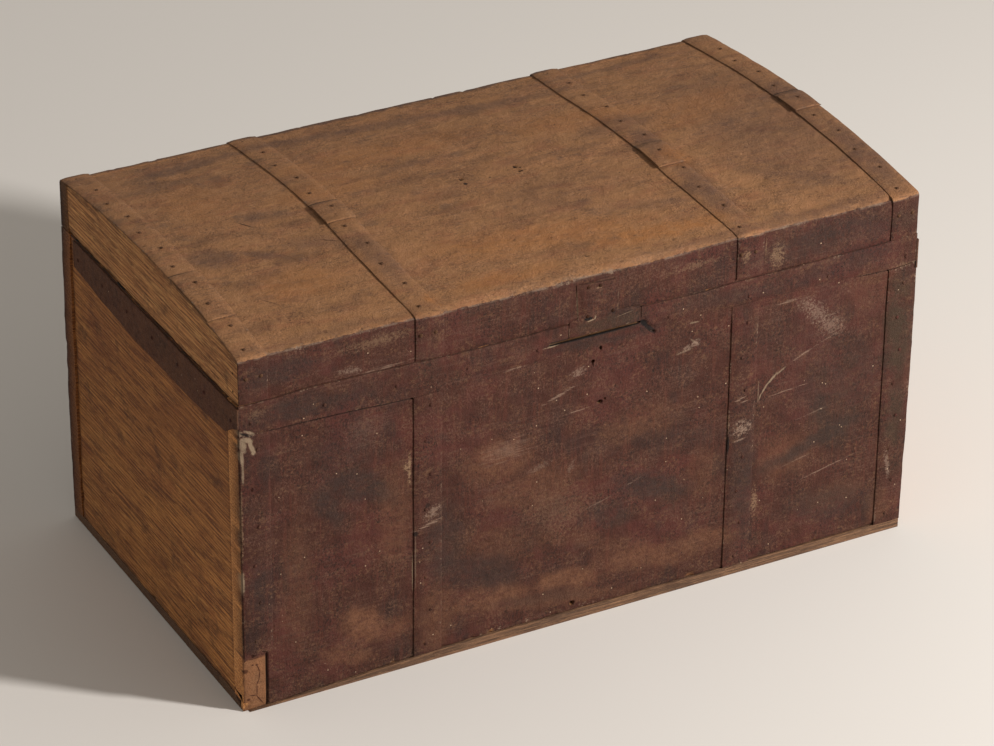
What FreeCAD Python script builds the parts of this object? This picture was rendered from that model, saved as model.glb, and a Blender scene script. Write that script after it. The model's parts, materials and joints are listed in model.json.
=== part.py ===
import FreeCAD, Part
import math
import os

# Sea chest: a low nailed box of broad boards with a slightly arched, hinged lid, bound with
# thin iron straps.  Millimetres.  X runs along the length, the front faces -Y, Z is up, and the
# origin is the centre of the underside.

V = FreeCAD.Vector

# ---------------------------------------------------------------- overall sizes
chest_length = 850.0
chest_depth = 470.0
body_height = 386.0        # underside to the rim of the front and back boards
lid_side_height = 55.7     # height of the lid's front and back faces
dome_rise = 17.5           # crown of the lid above those faces

# ---------------------------------------------------------------- boards
wall_thickness = 26.0
bottom_thickness = 12.0
bottom_board_count = 3
bottom_lip_depth = 9.0     # thickness of the feather of the front board below the bottom line
bottom_lip_run = 240.0     # length over which that feather thins out, from the left end
lid_front_thickness = 24.0
lid_back_thickness = 22.0
lid_end_thickness = 26.0
stave_count = 3
stave_thickness = 12.0
stave_lip = 12.0           # wood left standing outside the staves
arris_radius = 2.5         # worn outer edges of the boards
lid_edge_radius = 4.0      # rounder edge where the lid's top turns down
lid_rest_gap = 0.3         # rails of the lid above the rim
end_seam_gap = 2.2         # the lid's end boards have shrunk this far off the rim
board_gap = 0.3            # between neighbouring boards

# ---------------------------------------------------------------- straps and collar
strap_width = 36.0
strap_thickness = 2.4
strap_pitch = 200.0        # inner straps, each side of the middle
strap_foot = 2.0           # lid straps stop this far above the seam
collar_height = 38.0
collar_drop = 2.0          # top edge of the collar below the rim
collar_left_front_height = 46.0
collar_left_back_height = 34.0
collar_left_short = 37.0   # the left band stops this far from the back
strap_gap = 0.5            # between a strap's end and the collar
broken_strap_end = 70.0    # height at which the left front strap is broken off
broken_strap_teeth = [(0.0, -4.0), (9.0, 5.0), (16.0, -1.0), (22.0, 7.0), (29.0, 2.0), (36.0, 10.0)]
joggle_length = 9.0
lap_front = {"left_end": -162.0, "left": -31.0, "right": -77.0, "right_end": -26.0}
lap_length = {"left_end": 100.0, "left": 49.0, "right": 58.0, "right_end": 50.0}

# ---------------------------------------------------------------- nails
nail_head_radius = 2.4
nail_head_height = 0.9
nail_shank = 2.4
nail_tip = 0.8
strap_nail_length = 11.0
board_nail_length = 48.0
board_nail_low = 80.0      # lowest nail of the corner joints
board_nail_drop = 126.0    # highest one below the rim
board_nail_spacing = 90.0
stave_nail_front = 50.0    # first and last nail of the staves' ends, from the lid's front
stave_nail_back = 75.0     # and back faces
nail_spacing = 46.0
nail_stagger = 3.0
nail_end_margin = 14.0
staple_nail_inset = 8.0
catch_nails_low = [(-14.0, 5.0), (17.5, 5.0)]    # from the plate's middle, and above the lid's foot
catch_nails_high = [(-14.0, 5.0), (1.0, 6.0)]    # from the plate's middle, and below its top
lap_nail_reach = 7.0       # a nail nearer than this to a lap's end is moved
lap_nail_inset = 11.0      # to this far from the end

# ---------------------------------------------------------------- hinges
pin_radius = 2.5
pin_clearance = 0.08
pin_head_radius = 4.0
pin_head_height = 2.0
pin_head_sides = 12
hinge_collar_gap = 3.2     # the back collar stops short of the pins' heads
knuckle_gap = 0.3
knuckle_standoff = 0.3     # between a knuckle and the boards' back faces
leaf_relief = 0.5          # a leaf's shoulder clears the other leaf's knuckle

# ---------------------------------------------------------------- lock
lock_x = 5.0
keyhole_drop = 54.0        # keyhole below the rim
keyhole_radius = 3.0
key_slot_width = 2.6
key_slot_drop = 7.5        # from the keyhole's centre to the bottom of its slot
catch_plate_width = 50.0
catch_plate_height = 46.0
catch_plate_shift = 5.0    # plate's middle to the right of the lock's
catch_foot_width = 91.0
catch_foot_shift = 13.0
catch_foot_drop = 17.0     # foot of the catch plate below the rim
catch_gap = 0.4            # foot clear of the front board
catch_waist = 4.0          # plate widens into the foot this far above the lid's lower edge
catch_top_fall = 3.0       # upper edge falls away to the right
catch_ear_fall = (3.0, 5.0)  # left and right ears of the foot below the waist
catch_ear_inset = (2.0, 4.0)   # left and right ears narrower at the waist than below
catch_lean = 3.0           # plate's top leans to the left
notch_side_gap = 0.6       # collar's notch beside the foot
rim_slot_height = 3.0      # gap between the foot and the bottom of the notch
rim_slot_lead = 24.0       # the gap runs on this far to the left of the foot
rim_slot_depth = 7.0       # into the front board
gouge_length = 22.0        # torn groove off the right end of the gap
gouge_drop = 18.0
gouge_width = 6.0
gouge_depth = 3.0          # into the front board
lock_plate_width = 104.0
lock_plate_foot = 14.0     # plate below the keyhole's centre
lock_plate_thickness = 1.6
lock_cover_width = 84.0
lock_cover_depth = 16.5
lock_cover_wall = 1.2
lock_cover_inset = 4.0     # cover above the plate's lower edge
lock_corner = 6.0          # rounding of the plate's lower corners
bolt_thickness = 3.4
bolt_travel = 12.0
bolt_head_height = 8.0
bolt_head_length = 44.0
bolt_depth = 8.0           # middle of the bolt's head below the plate's shelf
bolt_nose_cut = 2.0
bolt_nose_reach = 11.0     # nose of the drawn bolt beyond the keyhole
bolt_tail_width = 20.0
bolt_tail_drop = 22.0
bolt_tail_gap = 1.5        # thrown tail short of the staple
key_notch_width = 8.0
key_notch_height = 5.0
bolt_end_gap = 2.0         # bolt's nose short of the staple when drawn back
guide_stud = 4.0           # square studs that the bolt slides on
guide_shoulder = 7.0
guide_reach = 2.0          # studs beyond the bolt
guide_clearance = 0.2
staple_width = 5.0
staple_leg = 3.0
staple_eye_width = 6.4
staple_eye_height = 10.0
staple_slot_clearance = 1.0
staple_plate_width = 46.0
staple_plate_height = 22.0
staple_plate_thickness = 2.0
spring_thickness = 0.8
spring_width = 5.0
spring_drop = 9.0          # spring's foot below its tip
spring_bow = 2.5
spring_foot = 4.0          # length of leaf that is fixed to the plate
screw_sides = 10
screw_head_radius = 3.6
screw_head_height = 1.4
screw_radius = 1.6
screw_length = 14.0
screw_inset = 10.0         # from the plate's upper and lower edges

# ---------------------------------------------------------------- worked-out places
half_length = chest_length / 2.0
half_depth = chest_depth / 2.0
inner_half_length = half_length - wall_thickness
inner_half_depth = half_depth - wall_thickness
lid_bottom = body_height + lid_rest_gap
lid_edge = lid_bottom + lid_side_height
crown = lid_edge + dome_rise
dome_radius = (half_depth ** 2 + dome_rise ** 2) / (2.0 * dome_rise)
dome_centre = crown - dome_radius
collar_top = body_height - collar_drop
collar_bottom = collar_top - collar_height
knuckle_radius = pin_radius + pin_clearance + strap_thickness
hinge_y = half_depth + knuckle_radius + knuckle_standoff
hinge_z = body_height + lid_rest_gap / 2.0
lock_face = -inner_half_depth
lock_middle = lock_face + lock_plate_thickness + (lock_cover_depth - lock_cover_wall) / 2.0
foot_bottom = body_height - catch_foot_drop
keyhole_height = body_height - keyhole_drop
lock_plate_low = keyhole_height - lock_plate_foot
strap_places = {
    "left_end": -half_length + strap_width / 2.0,
    "left": -strap_pitch,
    "right": strap_pitch,
    "right_end": half_length - strap_width / 2.0,
}
hinge_sides = ("left", "right")


# ---------------------------------------------------------------- helpers
def block(x0, x1, y0, y1, z0, z1):
    """Rectangular prism between two corners."""
    return Part.makeBox(x1 - x0, y1 - y0, z1 - z0, V(x0, y0, z0))


def flat_face(corners):
    return Part.Face(Part.makePolygon(corners + [corners[0]]))


def extruded(corners, direction):
    """Prism of a closed polygon along a direction."""
    return flat_face(corners).extrude(direction)


def rounded(shape, radius, wanted):
    """Round the straight edges of a shape that the test picks by their middle and direction."""
    edges = []
    for edge in shape.Edges:
        if isinstance(edge.Curve, Part.Line):
            middle = edge.CenterOfMass
            along = edge.Curve.Direction
            if wanted(middle, along):
                edges.append(edge)
    return shape.makeFillet(radius, edges)


def arc_edge(centre_y, centre_z, radius, start, end):
    """Arc in the YZ plane; angles are measured from +Z towards +Y."""
    points = []
    for share in (0.0, 0.5, 1.0):
        angle = start + (end - start) * share
        points.append(V(0, centre_y + radius * math.sin(angle), centre_z + radius * math.cos(angle)))
    return Part.Arc(*points).toShape()


def line_edge(y0, z0, y1, z1):
    return Part.LineSegment(V(0, y0, z0), V(0, y1, z1)).toShape()


def yz_prism(edges, x0, x1):
    """Closed loop of edges in the YZ plane, extruded from x0 to x1."""
    wire = Part.Wire(Part.__sortEdges__(edges))
    solid = Part.Face(wire).extrude(V(x1 - x0, 0, 0))
    solid.translate(V(x0, 0, 0))
    return solid


def edge_bend():
    """Centre height and angle of the rounding where the lid's top turns down."""
    reach = half_depth - lid_edge_radius
    rise = math.sqrt((dome_radius - lid_edge_radius) ** 2 - reach ** 2)
    return reach, dome_centre + rise, math.atan2(reach, rise)


def tapered_prism(point, outward, rings, sides, turn):
    """Solid between two regular polygons, each a radius and a height along a direction."""
    z_axis = V(outward).normalize()
    x_axis = V(1, 0, 0) if abs(z_axis.x) < 0.9 else V(0, 1, 0)
    y_axis = z_axis.cross(x_axis).normalize()
    x_axis = y_axis.cross(z_axis).normalize()
    loops = []
    for radius, height in rings:
        corners = []
        for number in range(sides):
            angle = turn + 2 * math.pi * number / sides
            across = x_axis * (radius * math.cos(angle)) + y_axis * (radius * math.sin(angle))
            corners.append(point + across + z_axis * height)
        loops.append(corners)
    low, high = loops
    faces = [flat_face(low), flat_face(high)]
    for number in range(sides):
        beside = (number + 1) % sides
        faces.append(flat_face([low[number], low[beside], high[beside], high[number]]))
    solid = Part.Solid(Part.Shell(faces))
    if solid.Volume < 0:
        solid.reverse()
    return solid


def faceted_head(point, outward, radius, height, sides, turn):
    """Low hammered head, narrower on top."""
    return tapered_prism(point, outward, [(radius, 0.0), (radius * 0.55, height)], sides, turn)


def save(shape, name):
    shape.exportStep("parts/" + name + ".step")


# ---------------------------------------------------------------- body boards
def foot_span():
    """Left and right ends of the catch plate's foot."""
    middle = lock_x + catch_foot_shift
    return middle - catch_foot_width / 2.0, middle + catch_foot_width / 2.0


def catch_span():
    """Left and right edges of the catch plate at its waist."""
    middle = lock_x + catch_plate_shift
    return middle - catch_plate_width / 2.0, middle + catch_plate_width / 2.0


def gouge_cutter(back):
    """Torn groove that slants down to the right from the gap under the catch's foot."""
    right = foot_span()[1]
    high = foot_bottom
    outline = [(right - 1, high + 1.5), (right + gouge_width, high + 2.0),
               (right + gouge_length, high - gouge_drop), (right + gouge_length - 4, high - gouge_drop),
               (right + gouge_width, high - gouge_width)]
    points = [V(x, -half_depth - strap_thickness - 1, z) for x, z in outline]
    return extruded(points, V(0, back + half_depth + strap_thickness + 1, 0))


def keyhole_cutter(depth_from, depth_to):
    """Round hole with a short slot below it, as deep as the two depths."""
    run = depth_to - depth_from
    hole = Part.makeCylinder(keyhole_radius, run, V(lock_x, depth_from, keyhole_height), V(0, 1, 0))
    slot = block(lock_x - key_slot_width / 2.0, lock_x + key_slot_width / 2.0, depth_from, depth_to,
                 keyhole_height - key_slot_drop, keyhole_height)
    return hole.fuse(slot)


def bottom_feather(clearance):
    """Wedge under the front board: full at the left end and nothing at its run's end."""
    left = -half_length - clearance
    tip = -half_length + bottom_lip_run + clearance
    points = [V(left, -half_depth, -clearance), V(left, -half_depth, bottom_thickness),
              V(tip, -half_depth, bottom_thickness), V(tip, -half_depth, bottom_thickness - clearance)]
    return extruded(points, V(0, bottom_lip_depth + clearance, 0))


def front_board():
    board = block(-half_length, half_length, -half_depth, -inner_half_depth, bottom_thickness, body_height)
    board = rounded(board, arris_radius, lambda m, a: m.y < -half_depth + 1 and (abs(a.z) > 0.9
                    or m.z > body_height - 1))
    board = board.fuse(bottom_feather(0.0)).removeSplitter()
    left, right = foot_span()
    slot = block(left - rim_slot_lead, right, -half_depth - 1, -half_depth + rim_slot_depth,
                 foot_bottom - rim_slot_height, foot_bottom)
    board = board.cut(slot).cut(gouge_cutter(-half_depth + gouge_depth))
    return board.cut(keyhole_cutter(-half_depth - 1, -inner_half_depth + 1))


def back_board():
    board = block(-half_length, half_length, inner_half_depth, half_depth, bottom_thickness, body_height)
    return rounded(board, arris_radius, lambda m, a: m.y > half_depth - 1 and (abs(a.z) > 0.9
                   or m.z > body_height - 1))


def end_board(side):
    """Side is -1 on the left and 1 on the right; it stands between the front and back boards."""
    outer = side * half_length
    inner = side * inner_half_length
    board = block(min(outer, inner), max(outer, inner), -inner_half_depth, inner_half_depth,
                  bottom_thickness, body_height)
    return rounded(board, arris_radius, lambda m, a: abs(m.x) > half_length - 1 and m.z > body_height - 1
                   and abs(a.y) > 0.9)


def bottom_boards():
    """Boards nailed up under the walls, side by side from front to back."""
    width = (chest_depth - (bottom_board_count - 1) * board_gap) / bottom_board_count
    boards = []
    for number in range(bottom_board_count):
        start = -half_depth + number * (width + board_gap)
        board = block(-half_length, half_length, start, start + width, 0, bottom_thickness)
        if number == 0:
            board = board.cut(bottom_feather(board_gap))
        boards.append(board)
    return boards


# ---------------------------------------------------------------- collar
def collar_front():
    """Band under the front rim, notched where the catch plate's foot comes down."""
    left, right = foot_span()
    left -= notch_side_gap
    right += notch_side_gap
    notch_bottom = foot_bottom - rim_slot_height
    outline = [(-half_length, collar_bottom), (half_length, collar_bottom), (half_length, collar_top),
               (right, collar_top), (right, notch_bottom), (left - rim_slot_lead, notch_bottom),
               (left - rim_slot_lead, foot_bottom), (left, foot_bottom), (left, collar_top),
               (-half_length, collar_top)]
    points = [V(x, -half_depth, z) for x, z in outline]
    band = extruded(points, V(0, -strap_thickness, 0))
    return band.cut(gouge_cutter(-half_depth))


def collar_end(side, front_height, back_height, back):
    """Band on an end of the chest from its front corner to a place near the back."""
    face = side * half_length
    reach = half_depth + strap_thickness
    outline = [(-reach, collar_top), (-reach, collar_top - front_height),
               (-reach + wall_thickness, collar_top - front_height + 1.5),
               (back, collar_top - back_height), (back, collar_top)]
    points = [V(face, y, z) for y, z in outline]
    return extruded(points, V(side * strap_thickness, 0, 0))


def collar_back_end(side):
    """Back end of the band on an end of the chest: the left one stops short."""
    return half_depth - collar_left_short if side < 0 else half_depth + strap_thickness


def collar_back(start, end):
    return block(start, end, half_depth, half_depth + strap_thickness, collar_bottom, collar_top)


def collar_back_spans():
    """The back band is in three lengths, because the hinge straps pass between them."""
    gap = strap_width / 2.0 + hinge_collar_gap
    return {
        "left": (-half_length, -strap_pitch - gap),
        "middle": (-strap_pitch + gap, strap_pitch - gap),
        "right": (strap_pitch + gap, half_length),
    }


# ---------------------------------------------------------------- straps of the body
def flat_strap(place, side, low, high):
    """Upright strap on the front (side -1) or the back (side 1)."""
    left = strap_places[place] - strap_width / 2.0
    face = side * half_depth
    outer = face + side * strap_thickness
    return block(left, left + strap_width, min(face, outer), max(face, outer), low, high)


def broken_strap():
    """The left front strap, torn off above the foot of the chest."""
    left = -half_length
    high = collar_bottom - strap_gap
    points = [V(left, -half_depth, high)]
    for across, up in broken_strap_teeth:
        points.append(V(left + across, -half_depth, broken_strap_end + up))
    points.append(V(left + strap_width, -half_depth, high))
    return extruded(points, V(0, -strap_thickness, 0))


def front_strap(place):
    if place == "left_end":
        return broken_strap()
    return flat_strap(place, -1, bottom_thickness, collar_bottom - strap_gap)


def knuckle_spans():
    """X ranges of the three knuckles, measured from a hinge's middle."""
    width = (strap_width - 2 * knuckle_gap) / 3.0
    spans = []
    for number in range(3):
        start = -strap_width / 2.0 + number * (width + knuckle_gap)
        spans.append((start, start + width))
    return spans


def rolled_eye(middle, span, upward):
    """One knuckle with the tongue that joins it to its leaf above or below."""
    x0 = middle + span[0]
    x1 = middle + span[1]
    eye = Part.makeCylinder(knuckle_radius, x1 - x0, V(x0, hinge_y, hinge_z), V(1, 0, 0))
    reach = knuckle_radius + leaf_relief + 1.0
    low = hinge_z if upward else hinge_z - reach
    tongue = block(x0, x1, half_depth, half_depth + strap_thickness, low, low + reach)
    bore = Part.makeCylinder(pin_radius + pin_clearance, x1 - x0, V(x0, hinge_y, hinge_z), V(1, 0, 0))
    return eye.fuse(tongue).cut(bore)


def back_strap(place):
    if place not in hinge_sides:
        return flat_strap(place, 1, bottom_thickness, collar_bottom - strap_gap)
    shoulder = hinge_z - knuckle_radius - leaf_relief
    leaf = flat_strap(place, 1, bottom_thickness, shoulder)
    spans = knuckle_spans()
    for span in (spans[0], spans[2]):
        leaf = leaf.fuse(rolled_eye(strap_places[place], span, False))
    return leaf.removeSplitter()


def hinge_pin(place):
    """Pin with both ends hammered over."""
    middle = strap_places[place]
    start = middle - strap_width / 2.0 - knuckle_gap
    run = strap_width + 2 * knuckle_gap
    pin = Part.makeCylinder(pin_radius, run, V(start, hinge_y, hinge_z), V(1, 0, 0))
    head = faceted_head(V(start + run, hinge_y, hinge_z), V(1, 0, 0), pin_head_radius,
                        pin_head_height, pin_head_sides, 0.0)
    tail = faceted_head(V(start, hinge_y, hinge_z), V(-1, 0, 0), pin_head_radius,
                        pin_head_height, pin_head_sides, 0.0)
    return pin.fuse(head).fuse(tail)


# ---------------------------------------------------------------- lid boards
def lid_envelope():
    """Outer form of the lid: upright faces, rounded edges and a shallow arch."""
    reach, bend_z, tilt = edge_bend()
    quarter = math.pi / 2.0
    edges = [
        line_edge(-half_depth, lid_bottom, half_depth, lid_bottom),
        line_edge(half_depth, lid_bottom, half_depth, bend_z),
        arc_edge(reach, bend_z, lid_edge_radius, quarter, tilt),
        arc_edge(0, dome_centre, dome_radius, tilt, -tilt),
        arc_edge(-reach, bend_z, lid_edge_radius, -tilt, -quarter),
        line_edge(-half_depth, bend_z, -half_depth, lid_bottom),
    ]
    return yz_prism(edges, -half_length, half_length)


def stave_block():
    """The arched space that the staves fill inside the lid's lips."""
    edge = half_depth - stave_lip
    outer = math.asin(edge / dome_radius)
    inner_radius = dome_radius - stave_thickness
    inner = math.asin(edge / inner_radius)
    top = dome_centre + dome_radius * math.cos(outer)
    low = dome_centre + inner_radius * math.cos(inner)
    edges = [
        arc_edge(0, dome_centre, dome_radius, -outer, outer),
        line_edge(edge, top, edge, low),
        arc_edge(0, dome_centre, inner_radius, inner, -inner),
        line_edge(-edge, low, -edge, top),
    ]
    return yz_prism(edges, -half_length + stave_lip, half_length - stave_lip)


def stave_pocket():
    """Stave block grown upwards and by a hair sideways, to cut the lips."""
    edge = half_depth - stave_lip + board_gap
    inner_radius = dome_radius - stave_thickness
    inner = math.asin(edge / inner_radius)
    low = dome_centre + inner_radius * math.cos(inner)
    high = crown + stave_thickness
    edges = [
        line_edge(-edge, low, -edge, high),
        line_edge(-edge, high, edge, high),
        line_edge(edge, high, edge, low),
        arc_edge(0, dome_centre, inner_radius, inner, -inner),
    ]
    outer = half_length - stave_lip + board_gap
    return yz_prism(edges, -outer, outer)


def lid_front_rail():
    inner = half_length - lid_end_thickness
    region = block(-inner, inner, -half_depth, -half_depth + lid_front_thickness, lid_bottom, crown)
    rail = lid_envelope().common(region).cut(stave_pocket())
    return rounded(rail, arris_radius, lambda m, a: m.y < -half_depth + 0.1 and m.z < lid_bottom + 0.1)


def lid_back_rail():
    region = block(-half_length, half_length, half_depth - lid_back_thickness, half_depth, lid_bottom, crown)
    rail = lid_envelope().common(region).cut(stave_pocket())
    return rounded(rail, arris_radius, lambda m, a: m.y > half_depth - 0.1 and m.z < lid_bottom + 0.1)


def lid_end(side):
    """Arched end board, running through to the front and stopped by the back rail."""
    outer = side * half_length
    inner = side * (half_length - lid_end_thickness)
    region = block(min(outer, inner), max(outer, inner), -half_depth, half_depth - lid_back_thickness,
                   body_height + end_seam_gap, crown)
    return lid_envelope().common(region).cut(stave_pocket())


def lid_staves():
    """The arched block parted into lengthwise boards, front to back."""
    whole = stave_block()
    pitch = 2.0 * (half_depth - stave_lip) / stave_count
    staves = []
    for number in range(stave_count):
        start = -half_depth + stave_lip + number * pitch
        first = start if number == 0 else start + board_gap / 2.0
        last = start + pitch if number == stave_count - 1 else start + pitch - board_gap / 2.0
        region = block(-half_length, half_length, first, last, lid_bottom, crown + 1)
        staves.append(whole.common(region))
    return staves


# ---------------------------------------------------------------- straps of the lid
def strap_line(side, offset, foot, end_angle, joggle_angle):
    """Edges of one face of a lid strap, from its foot on the lid's front (side -1) or back
    (side 1), round the bend and over the arch to its end.  With a joggle angle the strap steps
    up by its own thickness there and lies on the other length from then on."""
    reach, bend_z, tilt = edge_bend()
    quarter = math.pi / 2.0
    face = side * (half_depth + offset)
    radius = dome_radius + offset
    edges = [
        line_edge(face, foot, face, bend_z),
        arc_edge(side * reach, bend_z, lid_edge_radius + offset, side * quarter, side * tilt),
    ]
    if joggle_angle is None:
        edges.append(arc_edge(0, dome_centre, radius, side * tilt, end_angle))
        return edges
    raised = radius + strap_thickness
    step = joggle_angle - side * joggle_length / dome_radius
    edges.append(arc_edge(0, dome_centre, radius, side * tilt, joggle_angle))
    edges.append(line_edge(radius * math.sin(joggle_angle), dome_centre + radius * math.cos(joggle_angle),
                           raised * math.sin(step), dome_centre + raised * math.cos(step)))
    edges.append(arc_edge(0, dome_centre, raised, step, end_angle))
    return edges


def end_point(radius, angle):
    return radius * math.sin(angle), dome_centre + radius * math.cos(angle)


def bent_strap(place, side, foot, end_angle, joggle_angle):
    """Strap of even thickness between its two faces."""
    lift = 0.0 if joggle_angle is None else strap_thickness
    inner = strap_line(side, 0.0, foot, end_angle, joggle_angle)
    outer = strap_line(side, strap_thickness, foot, end_angle, joggle_angle)
    y0, z0 = end_point(dome_radius + lift, end_angle)
    y1, z1 = end_point(dome_radius + lift + strap_thickness, end_angle)
    face = side * half_depth
    closing = [
        line_edge(face, foot, face + side * strap_thickness, foot),
        line_edge(y0, z0, y1, z1),
    ]
    left = strap_places[place] - strap_width / 2.0
    return yz_prism(inner + outer + closing, left, left + strap_width)


def lap_angles(place):
    """Angles of the upper strap's end, the lower strap's end and the upper strap's joggle."""
    start = lap_front[place]
    end = start + lap_length[place]
    upper_end = math.asin(start / dome_radius)
    lower_end = math.asin((end - joggle_length - strap_gap) / dome_radius)
    joggle = math.asin(end / dome_radius)
    return upper_end, lower_end, joggle


def lid_front_strap(place):
    lower_end = lap_angles(place)[1]
    return bent_strap(place, -1, lid_bottom + strap_foot, lower_end, None)


def lid_back_strap(place):
    upper_end, _, joggle = lap_angles(place)
    if place not in hinge_sides:
        return bent_strap(place, 1, lid_bottom + strap_foot, upper_end, joggle)
    foot = hinge_z + knuckle_radius + leaf_relief
    strap = bent_strap(place, 1, foot, upper_end, joggle)
    return strap.fuse(rolled_eye(strap_places[place], knuckle_spans()[1], True)).removeSplitter()


# ---------------------------------------------------------------- lock and catch
def catch_plate():
    """Plate on the lid's front with a wider foot that hangs over the rim."""
    left, right = catch_span()
    foot_left, foot_right = foot_span()
    waist = lid_bottom + catch_waist
    high = lid_bottom + catch_plate_height
    outline = [(left - catch_lean, high), (right - catch_lean, high - catch_top_fall), (right, waist),
               (foot_right - catch_ear_inset[1], waist - catch_ear_fall[1]), (foot_right, foot_bottom),
               (foot_left, foot_bottom), (foot_left + catch_ear_inset[0], waist - catch_ear_fall[0]),
               (left, waist)]
    points = [V(x, -half_depth, z) for x, z in outline]
    plate = extruded(points, V(0, -strap_thickness, 0))
    relief = block(foot_left - 1, foot_right + 1, -half_depth - catch_gap, -half_depth + 1,
                   foot_bottom - 1, lid_bottom)
    return plate.cut(relief)


def staple_eye_range():
    """Heights of the eye's bottom and top: the bolt's head runs through its middle."""
    low = bolt_middle() - staple_eye_height / 2.0
    return low, low + staple_eye_height


def bolt_middle():
    return collar_top - lock_plate_thickness - bolt_depth


def bolt_nose():
    return lock_x + bolt_nose_reach


def staple_x():
    return bolt_nose() + bolt_end_gap


def bolt_tail_span():
    """Left and right of the drawn bolt's tail: thrown, it stops just short of the staple."""
    right = staple_x() - bolt_travel - bolt_tail_gap
    return right - bolt_tail_width, right


def lid_staple():
    """Angle plate on the lid's front rail with the eye that hangs into the lock."""
    wall = -half_depth + lid_front_thickness
    flange_low = lid_bottom + strap_foot
    half = staple_plate_width / 2.0
    leaf = block(lock_x - half, lock_x + half, wall, wall + staple_plate_thickness,
                 flange_low, flange_low + staple_plate_height)
    outer_half = staple_eye_width / 2.0 + staple_leg
    flange = block(lock_x - half, lock_x + half, wall, lock_middle + outer_half,
                   flange_low, flange_low + staple_plate_thickness)
    eye_low, _ = staple_eye_range()
    loop = block(staple_x(), staple_x() + staple_width, lock_middle - outer_half, lock_middle + outer_half,
                 eye_low - staple_leg, flange_low)
    loop = rounded(loop, staple_leg, lambda m, a: abs(a.x) > 0.9 and m.z < eye_low)
    hole = block(staple_x(), staple_x() + staple_width, lock_middle - staple_eye_width / 2.0,
                 lock_middle + staple_eye_width / 2.0, eye_low, flange_low)
    return leaf.fuse(flange).fuse(loop.cut(hole)).removeSplitter()


def lock_plate():
    """Plate on the front board's inner face; its top edge is turned in and slotted for the staple."""
    half = lock_plate_width / 2.0
    low = lock_plate_low
    plate = block(lock_x - half, lock_x + half, lock_face, lock_face + lock_plate_thickness, low, collar_top)
    plate = rounded(plate, lock_corner, lambda m, a: abs(a.y) > 0.9 and m.z < low + 1)
    cover_half = lock_cover_width / 2.0
    shelf = block(lock_x - cover_half, lock_x + cover_half, lock_face, lock_face + lock_cover_depth
                  + lock_plate_thickness, collar_top - lock_plate_thickness, collar_top)
    outer_half = staple_eye_width / 2.0 + staple_leg + staple_slot_clearance
    slot = block(staple_x() - staple_slot_clearance, staple_x() + staple_width + staple_slot_clearance,
                 lock_middle - outer_half, lock_middle + outer_half,
                 collar_top - lock_plate_thickness - 1, collar_top + 1)
    keyhole = keyhole_cutter(lock_face - 1, lock_face + lock_plate_thickness + 1)
    return plate.fuse(shelf).cut(slot).cut(keyhole).removeSplitter()


def lock_cover():
    """Cap over the works, open towards the plate and closed at the top by the plate's shelf."""
    half = lock_cover_width / 2.0
    low = lock_plate_low + lock_cover_inset
    high = collar_top - lock_plate_thickness
    start = lock_face + lock_plate_thickness
    end = start + lock_cover_depth
    cap = block(lock_x - half, lock_x + half, start, end, low, high)
    cap = rounded(cap, 2.0, lambda m, a: m.y > end - 0.1 and m.z < high - 1)
    wall = lock_cover_wall
    space = block(lock_x - half + wall, lock_x + half - wall, start, end - wall, low + wall, high)
    return cap.cut(space)


def guide_places():
    """Two guide studs, one in the bolt's head and one in its tail."""
    back = bolt_nose() - bolt_head_length
    side = guide_stud / 2.0 + 2.0
    return [
        (back + side + bolt_travel, bolt_middle()),
        (bolt_tail_span()[1] - side, bolt_middle() - bolt_tail_drop / 2.0),
    ]


def square_bar(x, z, side, start, end):
    """Square bar along Y, centred on x and z."""
    half = side / 2.0
    return block(x - half, x + half, start, end, z - half, z + half)


def lock_guide_studs():
    """Studs on the plate, each with a shoulder that keeps the bolt off the plate."""
    start = lock_face + lock_plate_thickness
    shoulder_end = lock_middle - bolt_thickness / 2.0 - guide_clearance
    stud_end = lock_middle + bolt_thickness / 2.0 + guide_reach
    studs = []
    for x, z in guide_places():
        shoulder = square_bar(x, z, guide_shoulder, start, shoulder_end)
        studs.append(shoulder.fuse(square_bar(x, z, guide_stud, start, stud_end)))
    return Part.makeCompound(studs)


def lock_bolt():
    """Bolt drawn back: a head that shoots through the staple and a tail that the key throws."""
    nose = bolt_nose()
    back = nose - bolt_head_length
    top = bolt_middle() + bolt_head_height / 2.0
    under = bolt_middle() - bolt_head_height / 2.0
    tail_left, tail_right = bolt_tail_span()
    tail_low = under - bolt_tail_drop
    notch_left = (tail_left + tail_right - key_notch_width) / 2.0
    notch_right = notch_left + key_notch_width
    notch_top = tail_low + key_notch_height
    outline = [(back, top), (nose - bolt_nose_cut, top), (nose, top - bolt_nose_cut), (nose, under),
               (tail_right, under), (tail_right, tail_low), (notch_right, tail_low),
               (notch_right, notch_top), (notch_left, notch_top), (notch_left, tail_low),
               (tail_left, tail_low), (tail_left, under), (back, under)]
    points = [V(x, lock_middle - bolt_thickness / 2.0, z) for x, z in outline]
    bolt = extruded(points, V(0, bolt_thickness, 0))
    for x, z in guide_places():
        bolt = bolt.cut(guide_slot(x, z))
    return bolt


def guide_slot(x, z):
    """Slot in the bolt for one guide stud: the bolt moves to +X, so the slot runs to -X."""
    half = guide_stud / 2.0 + guide_clearance
    return block(x - bolt_travel - half, x + half, lock_middle - bolt_thickness,
                 lock_middle + bolt_thickness, z - half, z + half)


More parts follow.
